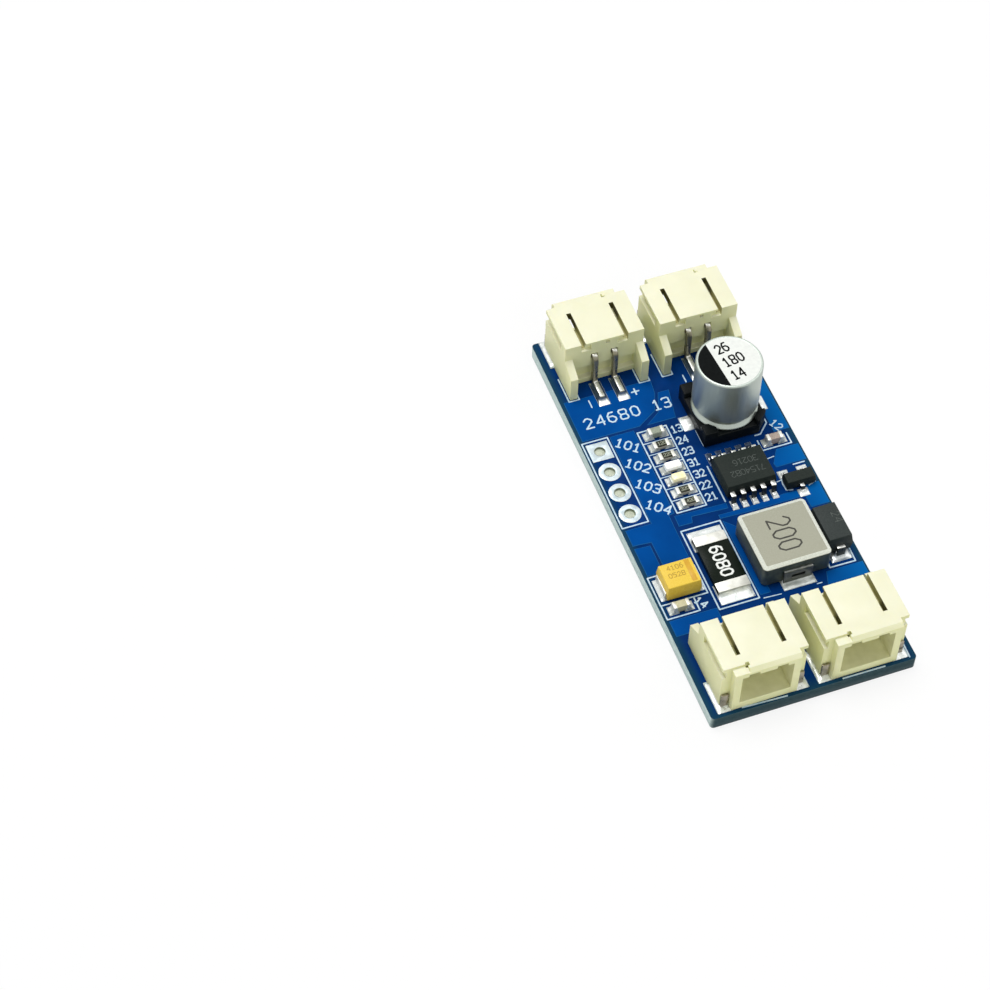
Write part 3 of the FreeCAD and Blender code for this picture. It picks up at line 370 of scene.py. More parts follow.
def lacquer_finish(name, dark, pale, roughness, shine=0.3):
    # Thin printed lacquer or ink: even, with a faint mottle where it soaked or thinned.
    made = start_finish(name, pale, roughness, Specular_IOR_Level=shine)
    colour = mottle(*made[1:], 0.35 * MM, dark, pale)
    return surface(*made, colour, 0.08 * MM, 0.002 * MM, 0.6)


def moulded_finish(name, dark, pale, roughness, shine=0.3, grain=0.06 * MM):
    # Filled thermoset, nylon or fired body: matt, with a fine sparkle-free grain.
    made = start_finish(name, pale, roughness, Specular_IOR_Level=shine)
    colour = mottle(*made[1:], 0.12 * MM, dark, pale, 5.0)
    return surface(*made, colour, grain, 0.004 * MM)


def inductor_finish():
    # Pressed iron powder under a sprayed grey coat: speckled on top, with painted dark reflections
    # on the sides.
    material, tree, place = start_finish(
        "coated pressed iron powder", "#8A8A7A", 0.45, Metallic=0.12
    )
    # Painted reflection: the sides are dark, as if they mirrored dark surroundings.
    sides = mottle(tree, place, 0.4 * MM, "#3A4442", "#505A58")
    tops = mottle(tree, place, 0.1 * MM, "#92927F", "#A5A594", 5.0)
    blend = add_node(tree, "Mix", {0: facing_up(tree, place, 0.2, 0.5), 6: sides, 7: tops})
    vary_roughness(tree, place, 0.4 * MM, 0.34, 0.5)
    return surface(material, tree, place, blend, 0.07 * MM, 0.004 * MM)


def glowing_resin_finish(name, colour, deep):
    # Cast epoxy over phosphor: glossy and milky, with a painted glow that makes it brighter
    # than its faces' own light.
    made = start_finish(
        name, colour, 0.18, Subsurface_Weight=0.1, Subsurface_Radius=(1.0, 0.9, 0.6),
        Subsurface_Scale=0.2 * MM, IOR=1.5, Emission_Color=srgb(colour), Emission_Strength=0.22,
    )
    cloudy = mottle(*made[1:], 0.5 * MM, deep, colour)
    return surface(*made, cloudy, 0.2 * MM, 0.003 * MM)


LAMINATE = laminate_finish()
MASK = mask_on_copper_finish()
IVORY = ivory_finish()
# Painted shade: darker copies of the ivory for the faces inside the mouth and the slots.
IVORY_CAVITY_SHADE = shaded_recess_finish("ivory polyester in painted shade inside the mouth", "#DDDCAA", "#E7E6B8")
IVORY_SLOT_SHADE = shaded_recess_finish("ivory polyester in painted shade inside the slots", "#A8A36E", "#B8B37E", "#625D36")
# Painted dark reflections on the steep sides of pins, leads and solder drawn up a lead.
PIN_TIN = tin_finish(
    "bright tin plate on square pins", "#D4D5D0", "#ECEDE8", 0.24, 0.36, 0.8, wall="#8A8672"
)
TAB_TIN = tin_finish("bright tin plate", "#8C8574", "#ABA494", 0.22, 0.36, 0.85)
SOLDER = tin_finish("solder", "#CFD5D4", "#F2F4F0", 0.24, 0.4, 0.5, 0.012 * MM)
STEEP_SOLDER = tin_finish(
    "solder drawn up a lead", "#CFD5D4", "#F2F4F0", 0.24, 0.4, 0.6, 0.008 * MM, wall="#41536B"
)
DULL_SOLDER = tin_finish("dull solder", "#A7ADAA", "#CBD0CC", 0.3, 0.45, 0.5, 0.012 * MM)
DARK_SOLDER = tin_finish("solder in a chip's shade", "#3C4A68", "#687890", 0.3, 0.45, 0.7)
SMALL_SOLDER = tin_finish(
    "solder on the small parts", "#A3A9A3", "#EEF1EC", 0.24, 0.42, 0.55, 0.016 * MM, 0.24 * MM
)
LAND_TIN = tin_finish("levelled solder on copper", "#A3AFB5", "#C4CFD3", 0.3, 0.45, 0.6)
# The eyelets' bores are painted pale, as painted light of the white table seen through them, and
# their rims take a painted dark reflection.
EYELET_TIN = tin_finish(
    "solder-coated eyelets", "#BACAD1", "#D6E2E6", 0.3, 0.45, 0.35, wall="#FBFFF2"
)
paint_bore_rims(EYELET_TIN, "header_eyelet_4", HEADER_PITCH * MM)
CAP_TIN = tin_finish("satin tin terminations", "#D0D0C6", "#EEEEE6", 0.32, 0.46, 0.5)
LEAD_TIN = tin_finish(
    "bright tin on formed leads", "#E0E1DC", "#F6F6F2", 0.24, 0.34, 0.7, 0.002 * MM,
    wall="#343A3A",
)
DULL_TIN = tin_finish("dull nickel tin strap", "#5F6260", "#8B8D89", 0.36, 0.5, 0.8)
ALUMINIUM = can_finish()
WHITE_LACQUER = lacquer_finish("white lacquer on aluminium", "#E2E5E0", "#EBEEE8", 0.34)
BLACK_INK = lacquer_finish("black printing ink", "#060909", "#0D1010", 0.42, 0.05)
WHITE_INK = lacquer_finish("white marking ink", "#E2E6E2", "#F3F5F1", 0.5)
MARKING_INK = lacquer_finish("grey-green marking ink", "#9EA28D", "#B4B8A4", 0.5)
SILKSCREEN = lacquer_finish("white screen-printed epoxy ink", "#AACBE0", "#D6E6F0", 0.5)
GREY_INK = lacquer_finish("laser-marked grey", "#454B48", "#555B57", 0.6)
BROWN_INK = lacquer_finish("laser-marked brown", "#AE8A2C", "#C09A38", 0.55)
DARK_INK = lacquer_finish("dark grey printing ink", "#33322C", "#45443D", 0.5)
BLACK_NYLON = moulded_finish("black heat-resistant nylon", "#080B0B", "#111516", 0.4, 0.1)
COMPOUND = moulded_finish("charcoal epoxy moulding compound", "#242A29", "#323937", 0.52, 0.2)
DARK_COMPOUND = moulded_finish("black epoxy moulding compound", "#1A211E", "#262D29", 0.52, 0.12)
YELLOW_EPOXY = moulded_finish("yellow epoxy moulding", "#E4BE38", "#ECCC52", 0.4)
ORANGE_BAND = lacquer_finish("orange polarity band", "#D4A232", "#DCAE3C", 0.42)
IRON_POWDER = inductor_finish()
# Painted highlight: the rim's slope is paler than the core's top.
IRON_RIM_HIGHLIGHT = moulded_finish("pressed iron powder rim with a painted highlight", "#CBCFC2", "#E4E7DC", 0.38)
BLACK_GLAZE = moulded_finish("black overcoat glaze", "#0C140D", "#141D15", 0.22, 0.08, 0.2 * MM)
RESISTOR_GLAZE = moulded_finish("dark olive overcoat glaze", "#25271E", "#34362B", 0.4, 0.15)
# Painted shade: the alumina is darkened to a grey-brown, for the sides of resistors and lamps in
# shade.
SHADED_ALUMINA = moulded_finish("fired alumina darkened as painted shade", "#99968A", "#B2AFA3", 0.5)
BEIGE_CERAMIC = moulded_finish("beige fired ceramic", "#BFB995", "#D0CBA8", 0.45)
GREY_CERAMIC = moulded_finish("grey-green fired ceramic", "#8C9484", "#A5AC9A", 0.42)
ROSE_CERAMIC = moulded_finish("rose-brown fired ceramic", "#A09084", "#B7A79B", 0.45)
WHITE_RESIN = glowing_resin_finish("milky white resin", "#FFFFFC", "#F6F9F2")
YELLOW_RESIN = glowing_resin_finish("pale yellow resin", "#FCF8D2", "#E6D594")


# Pieces

def keep_piece(piece, slot, *nodes):
    """Let a finished piece ride on the module and stand for its nodes; its slot is not used."""
    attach(piece, "root")
    if nodes:
        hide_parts(*nodes)
    return piece


def piece_from(name, shape, *finishes):
    """A piece from a finished bmesh, which is freed."""
    mesh = bpy.data.meshes.new(name)
    shape.to_mesh(mesh)
    shape.free()
    for finish in finishes:
        mesh.materials.append(finish)
    return new_object(name, mesh)


def smooth(mesh, angle):
    """Shade round faces smooth, and keep the edges sharper than an angle crisp."""
    mesh.polygons.foreach_set("use_smooth", [True] * len(mesh.polygons))
    mesh.set_sharp_from_angle(angle=math.radians(angle))


def soften(piece, width, segments):
    """Round a piece's sharp edges, with the flat faces kept flat to the eye."""
    bevel = piece.modifiers.new("edges", "BEVEL")
    bevel.width = width
    bevel.segments = segments
    bevel.limit_method = "ANGLE"
    bevel.angle_limit = math.radians(28)
    bevel.harden_normals = True
    piece.data.polygons.foreach_set("use_smooth", [True] * len(piece.data.polygons))


def dress_node(node, slot, finish, edge, segments=2):
    """A copy of a node's shape with its triangles joined into faces and its edges softened."""
    shape = bmesh.new()
    shape.from_mesh(NODES[node].data)
    bmesh.ops.remove_doubles(shape, verts=shape.verts, dist=0.0005 * MM)
    bmesh.ops.dissolve_limit(
        shape, angle_limit=math.radians(1), verts=shape.verts, edges=shape.edges
    )
    piece = piece_from(f"{node}_dressed", shape, finish)
    soften(piece, edge, segments)
    return keep_piece(piece, slot, node)


def bmesh_block(shape, low, high, edge, segments, finish_index=0):
    """Add a block with rounded edges to a bmesh, between two corners."""
    made = bmesh.ops.create_cube(
        shape, size=1.0,
        matrix=Matrix.Translation((low + high) / 2) @ Matrix.Diagonal((*(high - low), 1)),
    )
    rounded = bmesh.ops.bevel(
        shape, geom=list({e for v in made["verts"] for e in v.link_edges}), offset=edge,
        segments=segments, profile=0.5, affect="EDGES", clamp_overlap=True,
    )
    for face in set(rounded["faces"]) | {f for v in rounded["verts"] for f in v.link_faces}:
        face.material_index = finish_index
        face.smooth = True


def add_prism(shape, lower, upper):
    """Add the prism between two like outlines to a bmesh, and return its top face."""
    lower, upper = ([shape.verts.new(point) for point in side] for side in (lower, upper))
    shape.faces.new(lower[::-1])
    for i in range(len(lower)):
        shape.faces.new((lower[i - 1], lower[i], upper[i], upper[i - 1]))
    return shape.faces.new(upper)


LATHE_STEPS = 96


def lathe(name, profile, centre, finish):
    """A round piece from its profile of (radius, height) points, closed at both ends."""
    shape = bmesh.new()
    rings = []
    for radius, height in profile:
        if radius < 1e-9:
            rings.append([shape.verts.new(centre + Vector((0, 0, height)))])
            continue
        rings.append([
            shape.verts.new(centre + Vector((x, y, height)))
            for x, y in arc_points((0, 0), radius, 0, 360, LATHE_STEPS)[:-1]
        ])
    for lower, upper in zip(rings, rings[1:]):
        for i in range(LATHE_STEPS):
            j = (i + 1) % LATHE_STEPS
            if len(lower) == 1:
                corners = (lower[0], upper[j], upper[i])
            elif len(upper) == 1:
                corners = (lower[i], lower[j], upper[0])
            else:
                corners = (lower[i], lower[j], upper[j], upper[i])
            shape.faces.new(corners)
    bmesh.ops.recalc_face_normals(shape, faces=shape.faces)
    piece = piece_from(name, shape, finish)
    smooth(piece.data, 50)
    return piece


def arc_points(centre, radius, start, end, steps):
    """Points of an arc, by angles in degrees."""
    x, y = centre
    turns = [math.radians(start + (end - start) * i / steps) for i in range(steps + 1)]
    return [(x + radius * math.cos(turn), y + radius * math.sin(turn)) for turn in turns]


# Shapes that repeat, grown by geometry trees

def start_tree(name, sizes):
    tree = bpy.data.node_groups.new(name, "GeometryNodeTree")
    tree.interface.new_socket("Geometry", in_out="INPUT", socket_type="NodeSocketGeometry")
    for label, kind in sizes.items():
        tree.interface.new_socket(label, in_out="INPUT", socket_type=f"NodeSocket{kind}")
    tree.interface.new_socket("Geometry", in_out="OUTPUT", socket_type="NodeSocketGeometry")
    return tree, add_node(tree, "NodeGroupInput").outputs


def finish_tree(tree, instances, finish):
    solid = add_node(tree, "GeometryNodeRealizeInstances", {0: instances})
    painted = add_node(tree, "GeometryNodeSetMaterial", {"Geometry": solid, "Material": finish})
    add_node(tree, "NodeGroupOutput", {0: painted})
    return tree


def grow(name, mesh, tree, values):
    """Run a geometry tree on a mesh and keep the result as a plain mesh."""
    piece = new_object(name, mesh)
    modifier = piece.modifiers.new("grow", "NODES")
    modifier.node_group = tree
    for item in tree.interface.items_tree:
        if item.in_out == "INPUT" and item.name in values:
            modifier[item.identifier] = values[item.name]
    grown = piece.evaluated_get(bpy.context.evaluated_depsgraph_get())
    piece.data = bpy.data.meshes.new_from_object(grown)
    piece.modifiers.clear()
    smooth(piece.data, 40)
    return piece


def stroke_tree():
    """Flat printed strokes with round ends along every edge of a mesh."""
    tree, given = start_tree(
        "printed strokes", {"Width": "Float", "Thickness": "Float", "Ink": "Material"}
    )
    lines = add_node(tree, "GeometryNodeMeshToCurve", {0: given["Geometry"]})
    level = add_node(tree, "GeometryNodeSetCurveNormal", {0: lines}, mode="Z_UP")
    section = add_node(
        tree, "GeometryNodeCurvePrimitiveQuadrilateral",
        {"Width": given["Width"], "Height": given["Thickness"]},
    )
    ribbons = add_node(
        tree, "GeometryNodeCurveToMesh",
        {"Curve": level, "Profile Curve": section, "Fill Caps": True},
    )
    radius = work_out(tree, "Math", given["Width"], ("MULTIPLY", 0.5))
    depth = work_out(tree, "Math", given["Thickness"], ("ADD", 0.005 * MM))
    dot = add_node(
        tree, "GeometryNodeMeshCylinder", {"Vertices": 12, "Radius": radius, "Depth": depth}
    )
    joints = add_node(
        tree, "GeometryNodeMergeByDistance", {"Geometry": given["Geometry"], "Distance": 0.01 * MM}
    )
    ends = add_node(tree, "GeometryNodeInstanceOnPoints", {"Points": joints, "Instance": dot})
    both = add_node(tree, "GeometryNodeJoinGeometry", {0: ribbons})
    feed(ends, both.inputs[0])
    return finish_tree(tree, both, given["Ink"])


def solder_tree():
    """Solder frozen on lands: a low crown that climbs where a metal foot stands in it."""
    tree, given = start_tree("solder on lands", {
        "Length": "Float", "Width": "Float", "Crown": "Float", "Foot Centre": "Vector",
        "Foot Half Size": "Vector", "Climb": "Float", "Spread": "Float", "Seed": "Float",
        "Solder": "Material",
    })
    sheet = add_node(
        tree, "GeometryNodeMeshGrid",
        {"Size X": given["Length"], "Size Y": given["Width"], "Vertices X": 25, "Vertices Y": 17},
    )
    place = add_node(tree, "GeometryNodeInputPosition")
    split = add_node(tree, "SeparateXYZ", {0: place}).outputs
    # The height falls to nothing towards the rim of a rounded rectangle.
    edge = 1.0
    for axis, span in (("X", "Length"), ("Y", "Width")):
        half = work_out(tree, "Math", given[span], ("MULTIPLY", 0.5))
        edge = work_out(
            tree, "Math", split[axis], ("DIVIDE", half), ("ABSOLUTE",), ("POWER", 6.0),
            ("MULTIPLY", -1.0), ("ADD", 1.0), ("MAXIMUM", 0.0), ("SQRT",), ("MULTIPLY", edge),
        )
    distance = work_out(
        tree, "VectorMath", place, ("SUBTRACT", given["Foot Centre"]), ("ABSOLUTE",),
        ("SUBTRACT", given["Foot Half Size"]), ("MAXIMUM", (0, 0, 0)), ("LENGTH",),
    )
    rise = work_out(
        tree, "Math", distance, ("DIVIDE", given["Spread"]), ("MULTIPLY", -1.0), ("EXPONENT",),
        ("MULTIPLY", given["Climb"]), ("ADD", given["Crown"]), ("MULTIPLY", edge),
    )
    lift = add_node(tree, "CombineXYZ", {2: rise})
    top = add_node(tree, "GeometryNodeSetPosition", {"Geometry": sheet, "Offset": lift})
    under = add_node(tree, "GeometryNodeFlipFaces", {0: sheet})
    shell = add_node(tree, "GeometryNodeJoinGeometry", {0: top})
    feed(under, shell.inputs[0])
    pool = add_node(tree, "GeometryNodeMergeByDistance", {"Geometry": shell, "Distance": 1e-7})
    turn = add_node(tree, "GeometryNodeInputNamedAttribute", {0: "turn"}, data_type="FLOAT")
    about_z = add_node(tree, "CombineXYZ", {2: turn})
    turned = add_node(tree, "FunctionNodeEulerToRotation", {0: about_z})
    pools = add_node(
        tree, "GeometryNodeInstanceOnPoints",
        {"Points": given["Geometry"], "Instance": pool, "Rotation": turned},
    )
    solid = add_node(tree, "GeometryNodeRealizeInstances", {0: pools})
    waves = add_node(
        tree, "TexNoise",
        {"Vector": place, "W": given["Seed"], "Scale": 1 / (0.7 * MM), "Detail": 1.0},
        noise_dimensions="4D",
    )
    above = past(tree, place, "Z", DECK, DECK + 0.05 * MM, mirrored=False)
    swing = add_node(
        tree, "MapRange",
        {"Value": waves, **NOISE_RANGE, "To Min": -0.02 * MM, "To Max": 0.02 * MM},
    )
    drift = work_out(tree, "Math", swing, ("MULTIPLY", above))
    uneven = add_node(
        tree, "GeometryNodeSetPosition",
        {"Geometry": solid, "Offset": add_node(tree, "CombineXYZ", {2: drift})},
    )
    return finish_tree(tree, uneven, given["Solder"])


STROKES = stroke_tree()
SOLDER_POOLS = solder_tree()


def spot(x, y, z):
    """The point at a place on the board, written in millimetres from its near left corner."""
    return Vector((BOARD_LOW.x + x * MM, BOARD_LOW.y + y * MM, z))


# Printed lines and numbers

# The strokes of the digits that are printed, on a grid 6 wide and 10 high.
DIGITS = {
    "0": [[(2, 0), (4, 0), (6, 2), (6, 8), (4, 10), (2, 10), (0, 8), (0, 2), (2, 0)]],
    "1": [[(1, 8), (3, 10), (3, 0)], [(1, 0), (5, 0)]],
    "2": [[(0, 8), (2, 10), (4, 10), (6, 8), (6, 6), (0, 0), (6, 0)]],
    "3": [[(0, 9), (1, 10), (5, 10), (6, 9), (6, 6), (5, 5), (2, 5)],
          [(5, 5), (6, 4), (6, 1), (5, 0), (1, 0), (0, 1)]],
    "4": [[(5, 0), (5, 10), (0, 3), (6, 3)]],
    "5": [[(6, 10), (0, 10), (0, 6), (4, 6), (6, 4), (6, 2), (4, 0), (0, 0)]],
    "6": [[(5, 10), (2, 10), (0, 7), (0, 2), (2, 0), (4, 0), (6, 2), (6, 4), (4, 6), (0, 6)]],
    "7": [[(0, 10), (6, 10), (2, 0)]],
    "8": [[(1, 5), (0, 7), (0, 9), (1, 10), (5, 10), (6, 9), (6, 7), (5, 5), (6, 3), (6, 1),
           (5, 0), (1, 0), (0, 1), (0, 3), (1, 5), (5, 5)]],
    "+": [[(0, 5), (6, 5)], [(3, 2), (3, 8)]],
}


def number_lines(text, x, y, height, turn=0, pitch=0.86, stretch=1.0):
    """The strokes of a number whose first digit's lower left corner is at x and y."""
    lines = []
    sine, cosine = math.sin(math.radians(turn)), math.cos(math.radians(turn))
    for place, mark in enumerate(text):
        for stroke in DIGITS[mark]:
            line = []
            for u, v in stroke:
                along = (u / 10 * stretch + place * pitch) * height
                up = v / 10 * height
                line.append((x + along * cosine - up * sine, y + along * sine + up * cosine))
            lines.append(line)
    return lines


def rows_of_numbers(*rows):
    """The strokes of several numbers, each row being what number_lines takes."""
    return [line for row in rows for line in number_lines(*row)]


def rectangle_line(left, low, right, high):
    return [(left, low), (right, low), (right, high), (left, high), (left, low)]


def print_lines(name, lines, width, level, finish, slot, thickness):
    """Print lines, given in millimetres on the board, on a level surface.

    Strokes that meet lie a hair apart in height, so that no two of their faces coincide.
    """
    points, edges = [], []
    for line in lines:
        for start, end in zip(line, line[1:]):
            height = level + thickness / 2 + len(edges) % 5 * 0.0004 * MM
            edges.append((len(points), len(points) + 1))
            points += [spot(*start, height), spot(*end, height)]
    mesh = bpy.data.meshes.new(name)
    mesh.from_pydata(points, edges, [])
    piece = grow(name, mesh, STROKES, {"Width": width, "Thickness": thickness, "Ink": finish})
    return keep_piece(piece, slot)


def on_board(node):
    """A node's left, near, right and far limits, in millimetres on the board."""
    return [(corner[i] - BOARD_LOW[i]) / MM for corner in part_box(node) for i in (0, 1)]


def middle(node):
    left, near, right, far = on_board(node)
    return (left + right) / 2, (near + far) / 2


LADDER = (
    "ceramic_capacitor_1", "chip_resistor_1", "chip_resistor_2", "indicator_lamp_1",
    "indicator_lamp_2", "chip_resistor_3", "chip_resistor_4",
)


def socket_outline(node):
    """The printed line round the ends of a far socket's two arms, a gap away from them."""
    left, near, right = on_board(node)[:3]
    arm, reach, gap, shoulder = 0.75, 1.7, 0.14, 1.1
    return [
        [(side - out * gap, near + reach + shoulder), (side - out * gap, near - gap),
         (side + out * (arm + gap), near - gap), (side + out * (arm + gap), near + reach)]
        for side, out in ((left, 1), (right, -1))
    ]


def print_board():
    ladder_left, ladder_near, ladder_right, ladder_far = 5.58, 21.6, 8.48, 31.5
    middles = [middle(node)[1] for node in LADDER]
    lines = [
        rectangle_line(0.2, 21.6, 2.75, 31.95),
        rectangle_line(ladder_left, ladder_near, ladder_right, ladder_far),
        rectangle_line(0.3, 10.95, 3.42, 12.5), rectangle_line(0.28, 12.5, 4.8, 15.7),
        rectangle_line(5.1, 10.45, 8.95, 19.55),
        [(15.85, 26.95), (15.85, 25.73), (18.8, 25.73), (18.8, 26.95)],
        [(10.26, 25.7), (10.26, 21.4)], [(10.9, 30.0), (10.9, 28.1)],
        [(15.9, 27.62), (16.45, 27.62), (17.53, 28.7), (17.53, 29.4)],
        [(16.06, 34.45), (16.62, 34.45), (17.4, 33.5), (17.4, 32.8)],
        [(16.3, 22.7), (16.05, 21.5), (16.1, 20.75), (16.65, 20.6)],
        [(18.3, 20.6), (19.0, 20.85)], [(17.9, 23.3), (19.0, 23.3)],
        [(16.35, 12.2), (16.23, 11.4), (18.75, 11.36), (18.8, 12.9)],
        [(2.71, 35.8), (2.71, 36.65)], [(12.3, 35.8), (12.3, 36.65)],
        [(2.97, 0.32), (7.11, 0.14)], [(12.43, 0.16), (16.4, 0.12)],
        [(18.94, 1.9), (18.88, 0.3)],
    ]
    for side in ("left", "right"):
        lines += socket_outline(f"socket_far_{side}_housing")
    fine = [
        [(ladder_left, (upper + lower) / 2), (ladder_right, (upper + lower) / 2)]
        for upper, lower in zip(middles, middles[1:])
    ]
    fine += [
        [(9.3, 10.3), (10.95, 10.2)], [(14.45, 10.15), (14.9, 10.15)],
        [(15.91, 24.69), (16.57, 24.77)], [(16.3, 22.0), (15.6, 21.9)],
    ]
    signs = rows_of_numbers(
        ("+", 6.93, 35.7, 1.15), ("+", 16.45, 35.7, 1.15),
        ("24680", 1.33, 33.5, 1.15, 0, 1.02, 1.06), ("13", 8.25, 33.5, 1.15, 0, 0.85, 0.95),
        *((f"10{place + 1}", 3.05, 30.75 - HEADER_PITCH * place, 0.95, -38, 0.9)
          for place in range(4)),
    )
    labels = rows_of_numbers(
        *((text, 8.78, y - 0.33, 0.8, 0, 0.72, 0.85)
          for y, text in zip(middles, ("13", "24", "23", "31", "32", "22", "21"))),
        ("12", 17.7, 28.45, 0.76, -62), ("14", 3.25, 11.95, 0.72, -56),
    )
    for name, strokes, width, thickness in (
        ("silkscreen_lines", lines, 0.13, 0.044), ("silkscreen_fine_lines", fine, 0.09, 0.041),
        ("silkscreen_numbers", signs, 0.16, 0.044), ("part_numbers", labels, 0.13, 0.044),
    ):
        print_lines(name, strokes, width * MM, BOARD_TOP, SILKSCREEN, "solder_mask", thickness * MM)


# Outlines of the copper under the mask, in millimetres on the board.
COPPER_AREAS = (
    [(2.15, 16.4), (4.72, 16.4), (4.8, 21.6), (5.36, 21.7), (5.42, 31.95), (2.95, 31.95),
     (2.9, 21.3), (0.36, 21.3), (0.36, 19.45), (2.1, 19.3)],
    [(0.36, 15.9), (1.92, 15.9), (1.92, 19.05), (0.36, 19.15)],
    [(0.36, 32.2), (6.15, 32.2), (8.2, 33.5), (9.0, 35.5), (9.2, 37.2), (0.36, 37.2)],
    [(6.8, 32.1), (9.75, 32.1), (10.4, 35.5), (9.25, 35.5), (8.45, 33.3)],
    [(5.15, 20.15), (6.5, 20.12), (6.72, 20.8), (10.25, 20.6), (10.3, 21.25), (5.2, 21.4)],
    [(9.05, 19.72), (11.85, 19.6), (17.0, 19.6), (17.0, 20.4), (15.85, 20.5), (11.9, 20.15),
     (9.05, 20.2)],
    [(9.15, 10.7), (10.2, 10.7), (10.2, 18.4), (9.15, 19.5)],
    [(16.3, 23.5), (19.36, 23.5), (19.36, 25.5), (17.1, 25.5), (16.2, 24.0)],
    [(17.45, 18.2), (19.36, 18.2), (19.36, 20.8), (17.9, 20.8), (17.45, 20.3)],
    [(17.75, 27.45), (19.36, 27.45), (19.36, 35.5), (17.75, 35.5)],
    [(15.3, 9.7), (19.36, 9.7), (19.36, 11.15), (15.75, 11.15)],
    [(0.36, 9.0), (4.95, 9.0), (4.95, 10.75), (0.36, 10.75)],
)


def make_copper_areas():
    """Low plates with sloped rims: copper areas, as they show through the mask."""
    shape = bmesh.new()
    for outline in COPPER_AREAS:
        plate = add_prism(shape, *(
            [spot(x, y, BOARD_TOP - depth * MM) for x, y in outline] for depth in (0.008, 0.004)
        ))
        plate.normal_update()
        bmesh.ops.inset_region(
            shape, faces=[plate], thickness=0.06 * MM, depth=0.034 * MM, use_even_offset=True
        )
    bmesh.ops.recalc_face_normals(shape, faces=shape.faces)
    keep_piece(piece_from("copper_areas", shape, MASK), "solder_mask")


# Solder

def solder_on(name, places, length, width, foot, climb, seed, spread=0.12 * MM, finish=SOLDER):
    """Solder on alike lands: each place is a point on the board and a turn in degrees.

    The foot is the centre and the half size of the metal that stands in the solder.
    """
    mesh = bpy.data.meshes.new(name)
    mesh.from_pydata([spot(x, y, DECK) for x, y, turn in places], [], [])
    turns = mesh.attributes.new("turn", "FLOAT", "POINT")
    turns.data.foreach_set("value", [math.radians(turn) for x, y, turn in places])
    centre_x, centre_y, half_x, half_y = foot
    piece = grow(name, mesh, SOLDER_POOLS, {
        "Length": length * MM, "Width": width * MM, "Crown": 0.05 * MM,
        "Foot Centre": (centre_x * MM, centre_y * MM, 0),
        "Foot Half Size": (half_x * MM, half_y * MM, 1.0),
        "Climb": climb * MM, "Spread": spread, "Seed": seed, "Solder": finish,
    })
    return keep_piece(piece, "tinned_copper")


def make_solder():
    pins, tabs, small, transistor = [], [], [], []
    for end, turn, sign in (("near", 180, -1), ("far", 0, 1)):
        for side in ("left", "right"):
            for number in (1, 2):
                # A pin's solder lies in from its rear end, and a tab's in from its front.
                left, near, right, far = on_board(f"socket_{end}_{side}_pin_{number}")
                rear = near if sign > 0 else far
                pins.append(((left + right) / 2, rear + sign * 0.77, turn))
                left, near, right, far = on_board(f"socket_{end}_{side}_tab_{number}")
                front = far if sign > 0 else near
                tabs.append(((left + right) / 2, front - sign * 1.05, turn))
    solder_on(
        "solder_at_pins", pins, 1.1, 2.95, (0, 0.38, 0.25, 1.13), 0.34, 1.0,
        spread=0.16 * MM, finish=STEEP_SOLDER,
    )
    solder_on("solder_at_tabs", tabs, 1.36, 3.2, (0, -0.27, 0.35, 1.3), 0.12, 2.0)

    for node in LADDER + ("ceramic_capacitor_2", "ceramic_capacitor_3"):
        x, y = middle(node)
        small += [(x - 0.725, y, 180), (x + 0.725, y, 0)]
    solder_on("solder_at_small_parts", small, 0.9, 0.9, (-0.25, 0, 0.33, 0.4), 0.32, 3.0,
              finish=SMALL_SOLDER)

    x, y = middle("charger_chip_body")
    near_legs = [(x + leg, y - 2.725, 180) for leg in range(-2, 3)]
    far_legs = [(x + leg, y + 2.9, 0) for leg in range(-2, 3)]
    solder_on("solder_at_chip_near", near_legs, 0.56, 1.06, (0, 0.02, 0.2, 0.25), 0.16, 4.0)
    solder_on("solder_at_chip_far", far_legs, 0.58, 1.43, (0, -0.15, 0.2, 0.25), 0.16, 4.5,
              finish=DARK_SOLDER)

    for number, turn in ((1, 180), (2, 0), (3, 0)):
        left, near, right, far = on_board(f"transistor_lead_{number}")
        transistor.append(((left + right) / 2, near if number == 1 else far, turn))
    solder_on("solder_at_transistor", transistor, 0.94, 0.84, (0, -0.2, 0.2, 0.2), 0.16, 5.0)

    # Name, node, how far its two solders lie from its middle, their length and width, the foot,
    # the climb and the seed, and what differs from plain solder.
    for name, node, across, along, length, width, foot, climb, seed, other in (
        ("diode", "diode_body", 0, 2.05, 1.9, 1.6, (0, -0.3, 0.35, 0.45), 0.4, 6.0,
         {"spread": 0.3 * MM, "finish": STEEP_SOLDER}),
        ("inductor", "inductor_core", 0, 3.325, 3.1, 1.8, (0, -0.4, 1.4, 0.42), 0.28, 7.0,
         {"finish": DULL_SOLDER}),
        ("sense_resistor", "sense_resistor_body", 0, 3.075, 3.2, 2.1, (0, -0.5, 1.55, 0.6),
         0.34, 8.0, {}),
        ("tantalum", "tantalum_body", 1.45, 0, 1.24, 2.3, (-0.07, 0, 0.4, 1.1), 0.25, 9.0, {}),
        ("capacitor", "capacitor_can", 2.85, 0, 2.7, 1.6, (-0.2, 0, 1.15, 0.45), 0.14, 10.0, {}),
    ):
        x, y = middle(node)
        places = [(x - across, y - along, 180), (x + across, y + along, 0)]
        solder_on(f"solder_at_{name}", places, length, width, foot, climb, seed, **other)


# Electrolytic capacitor

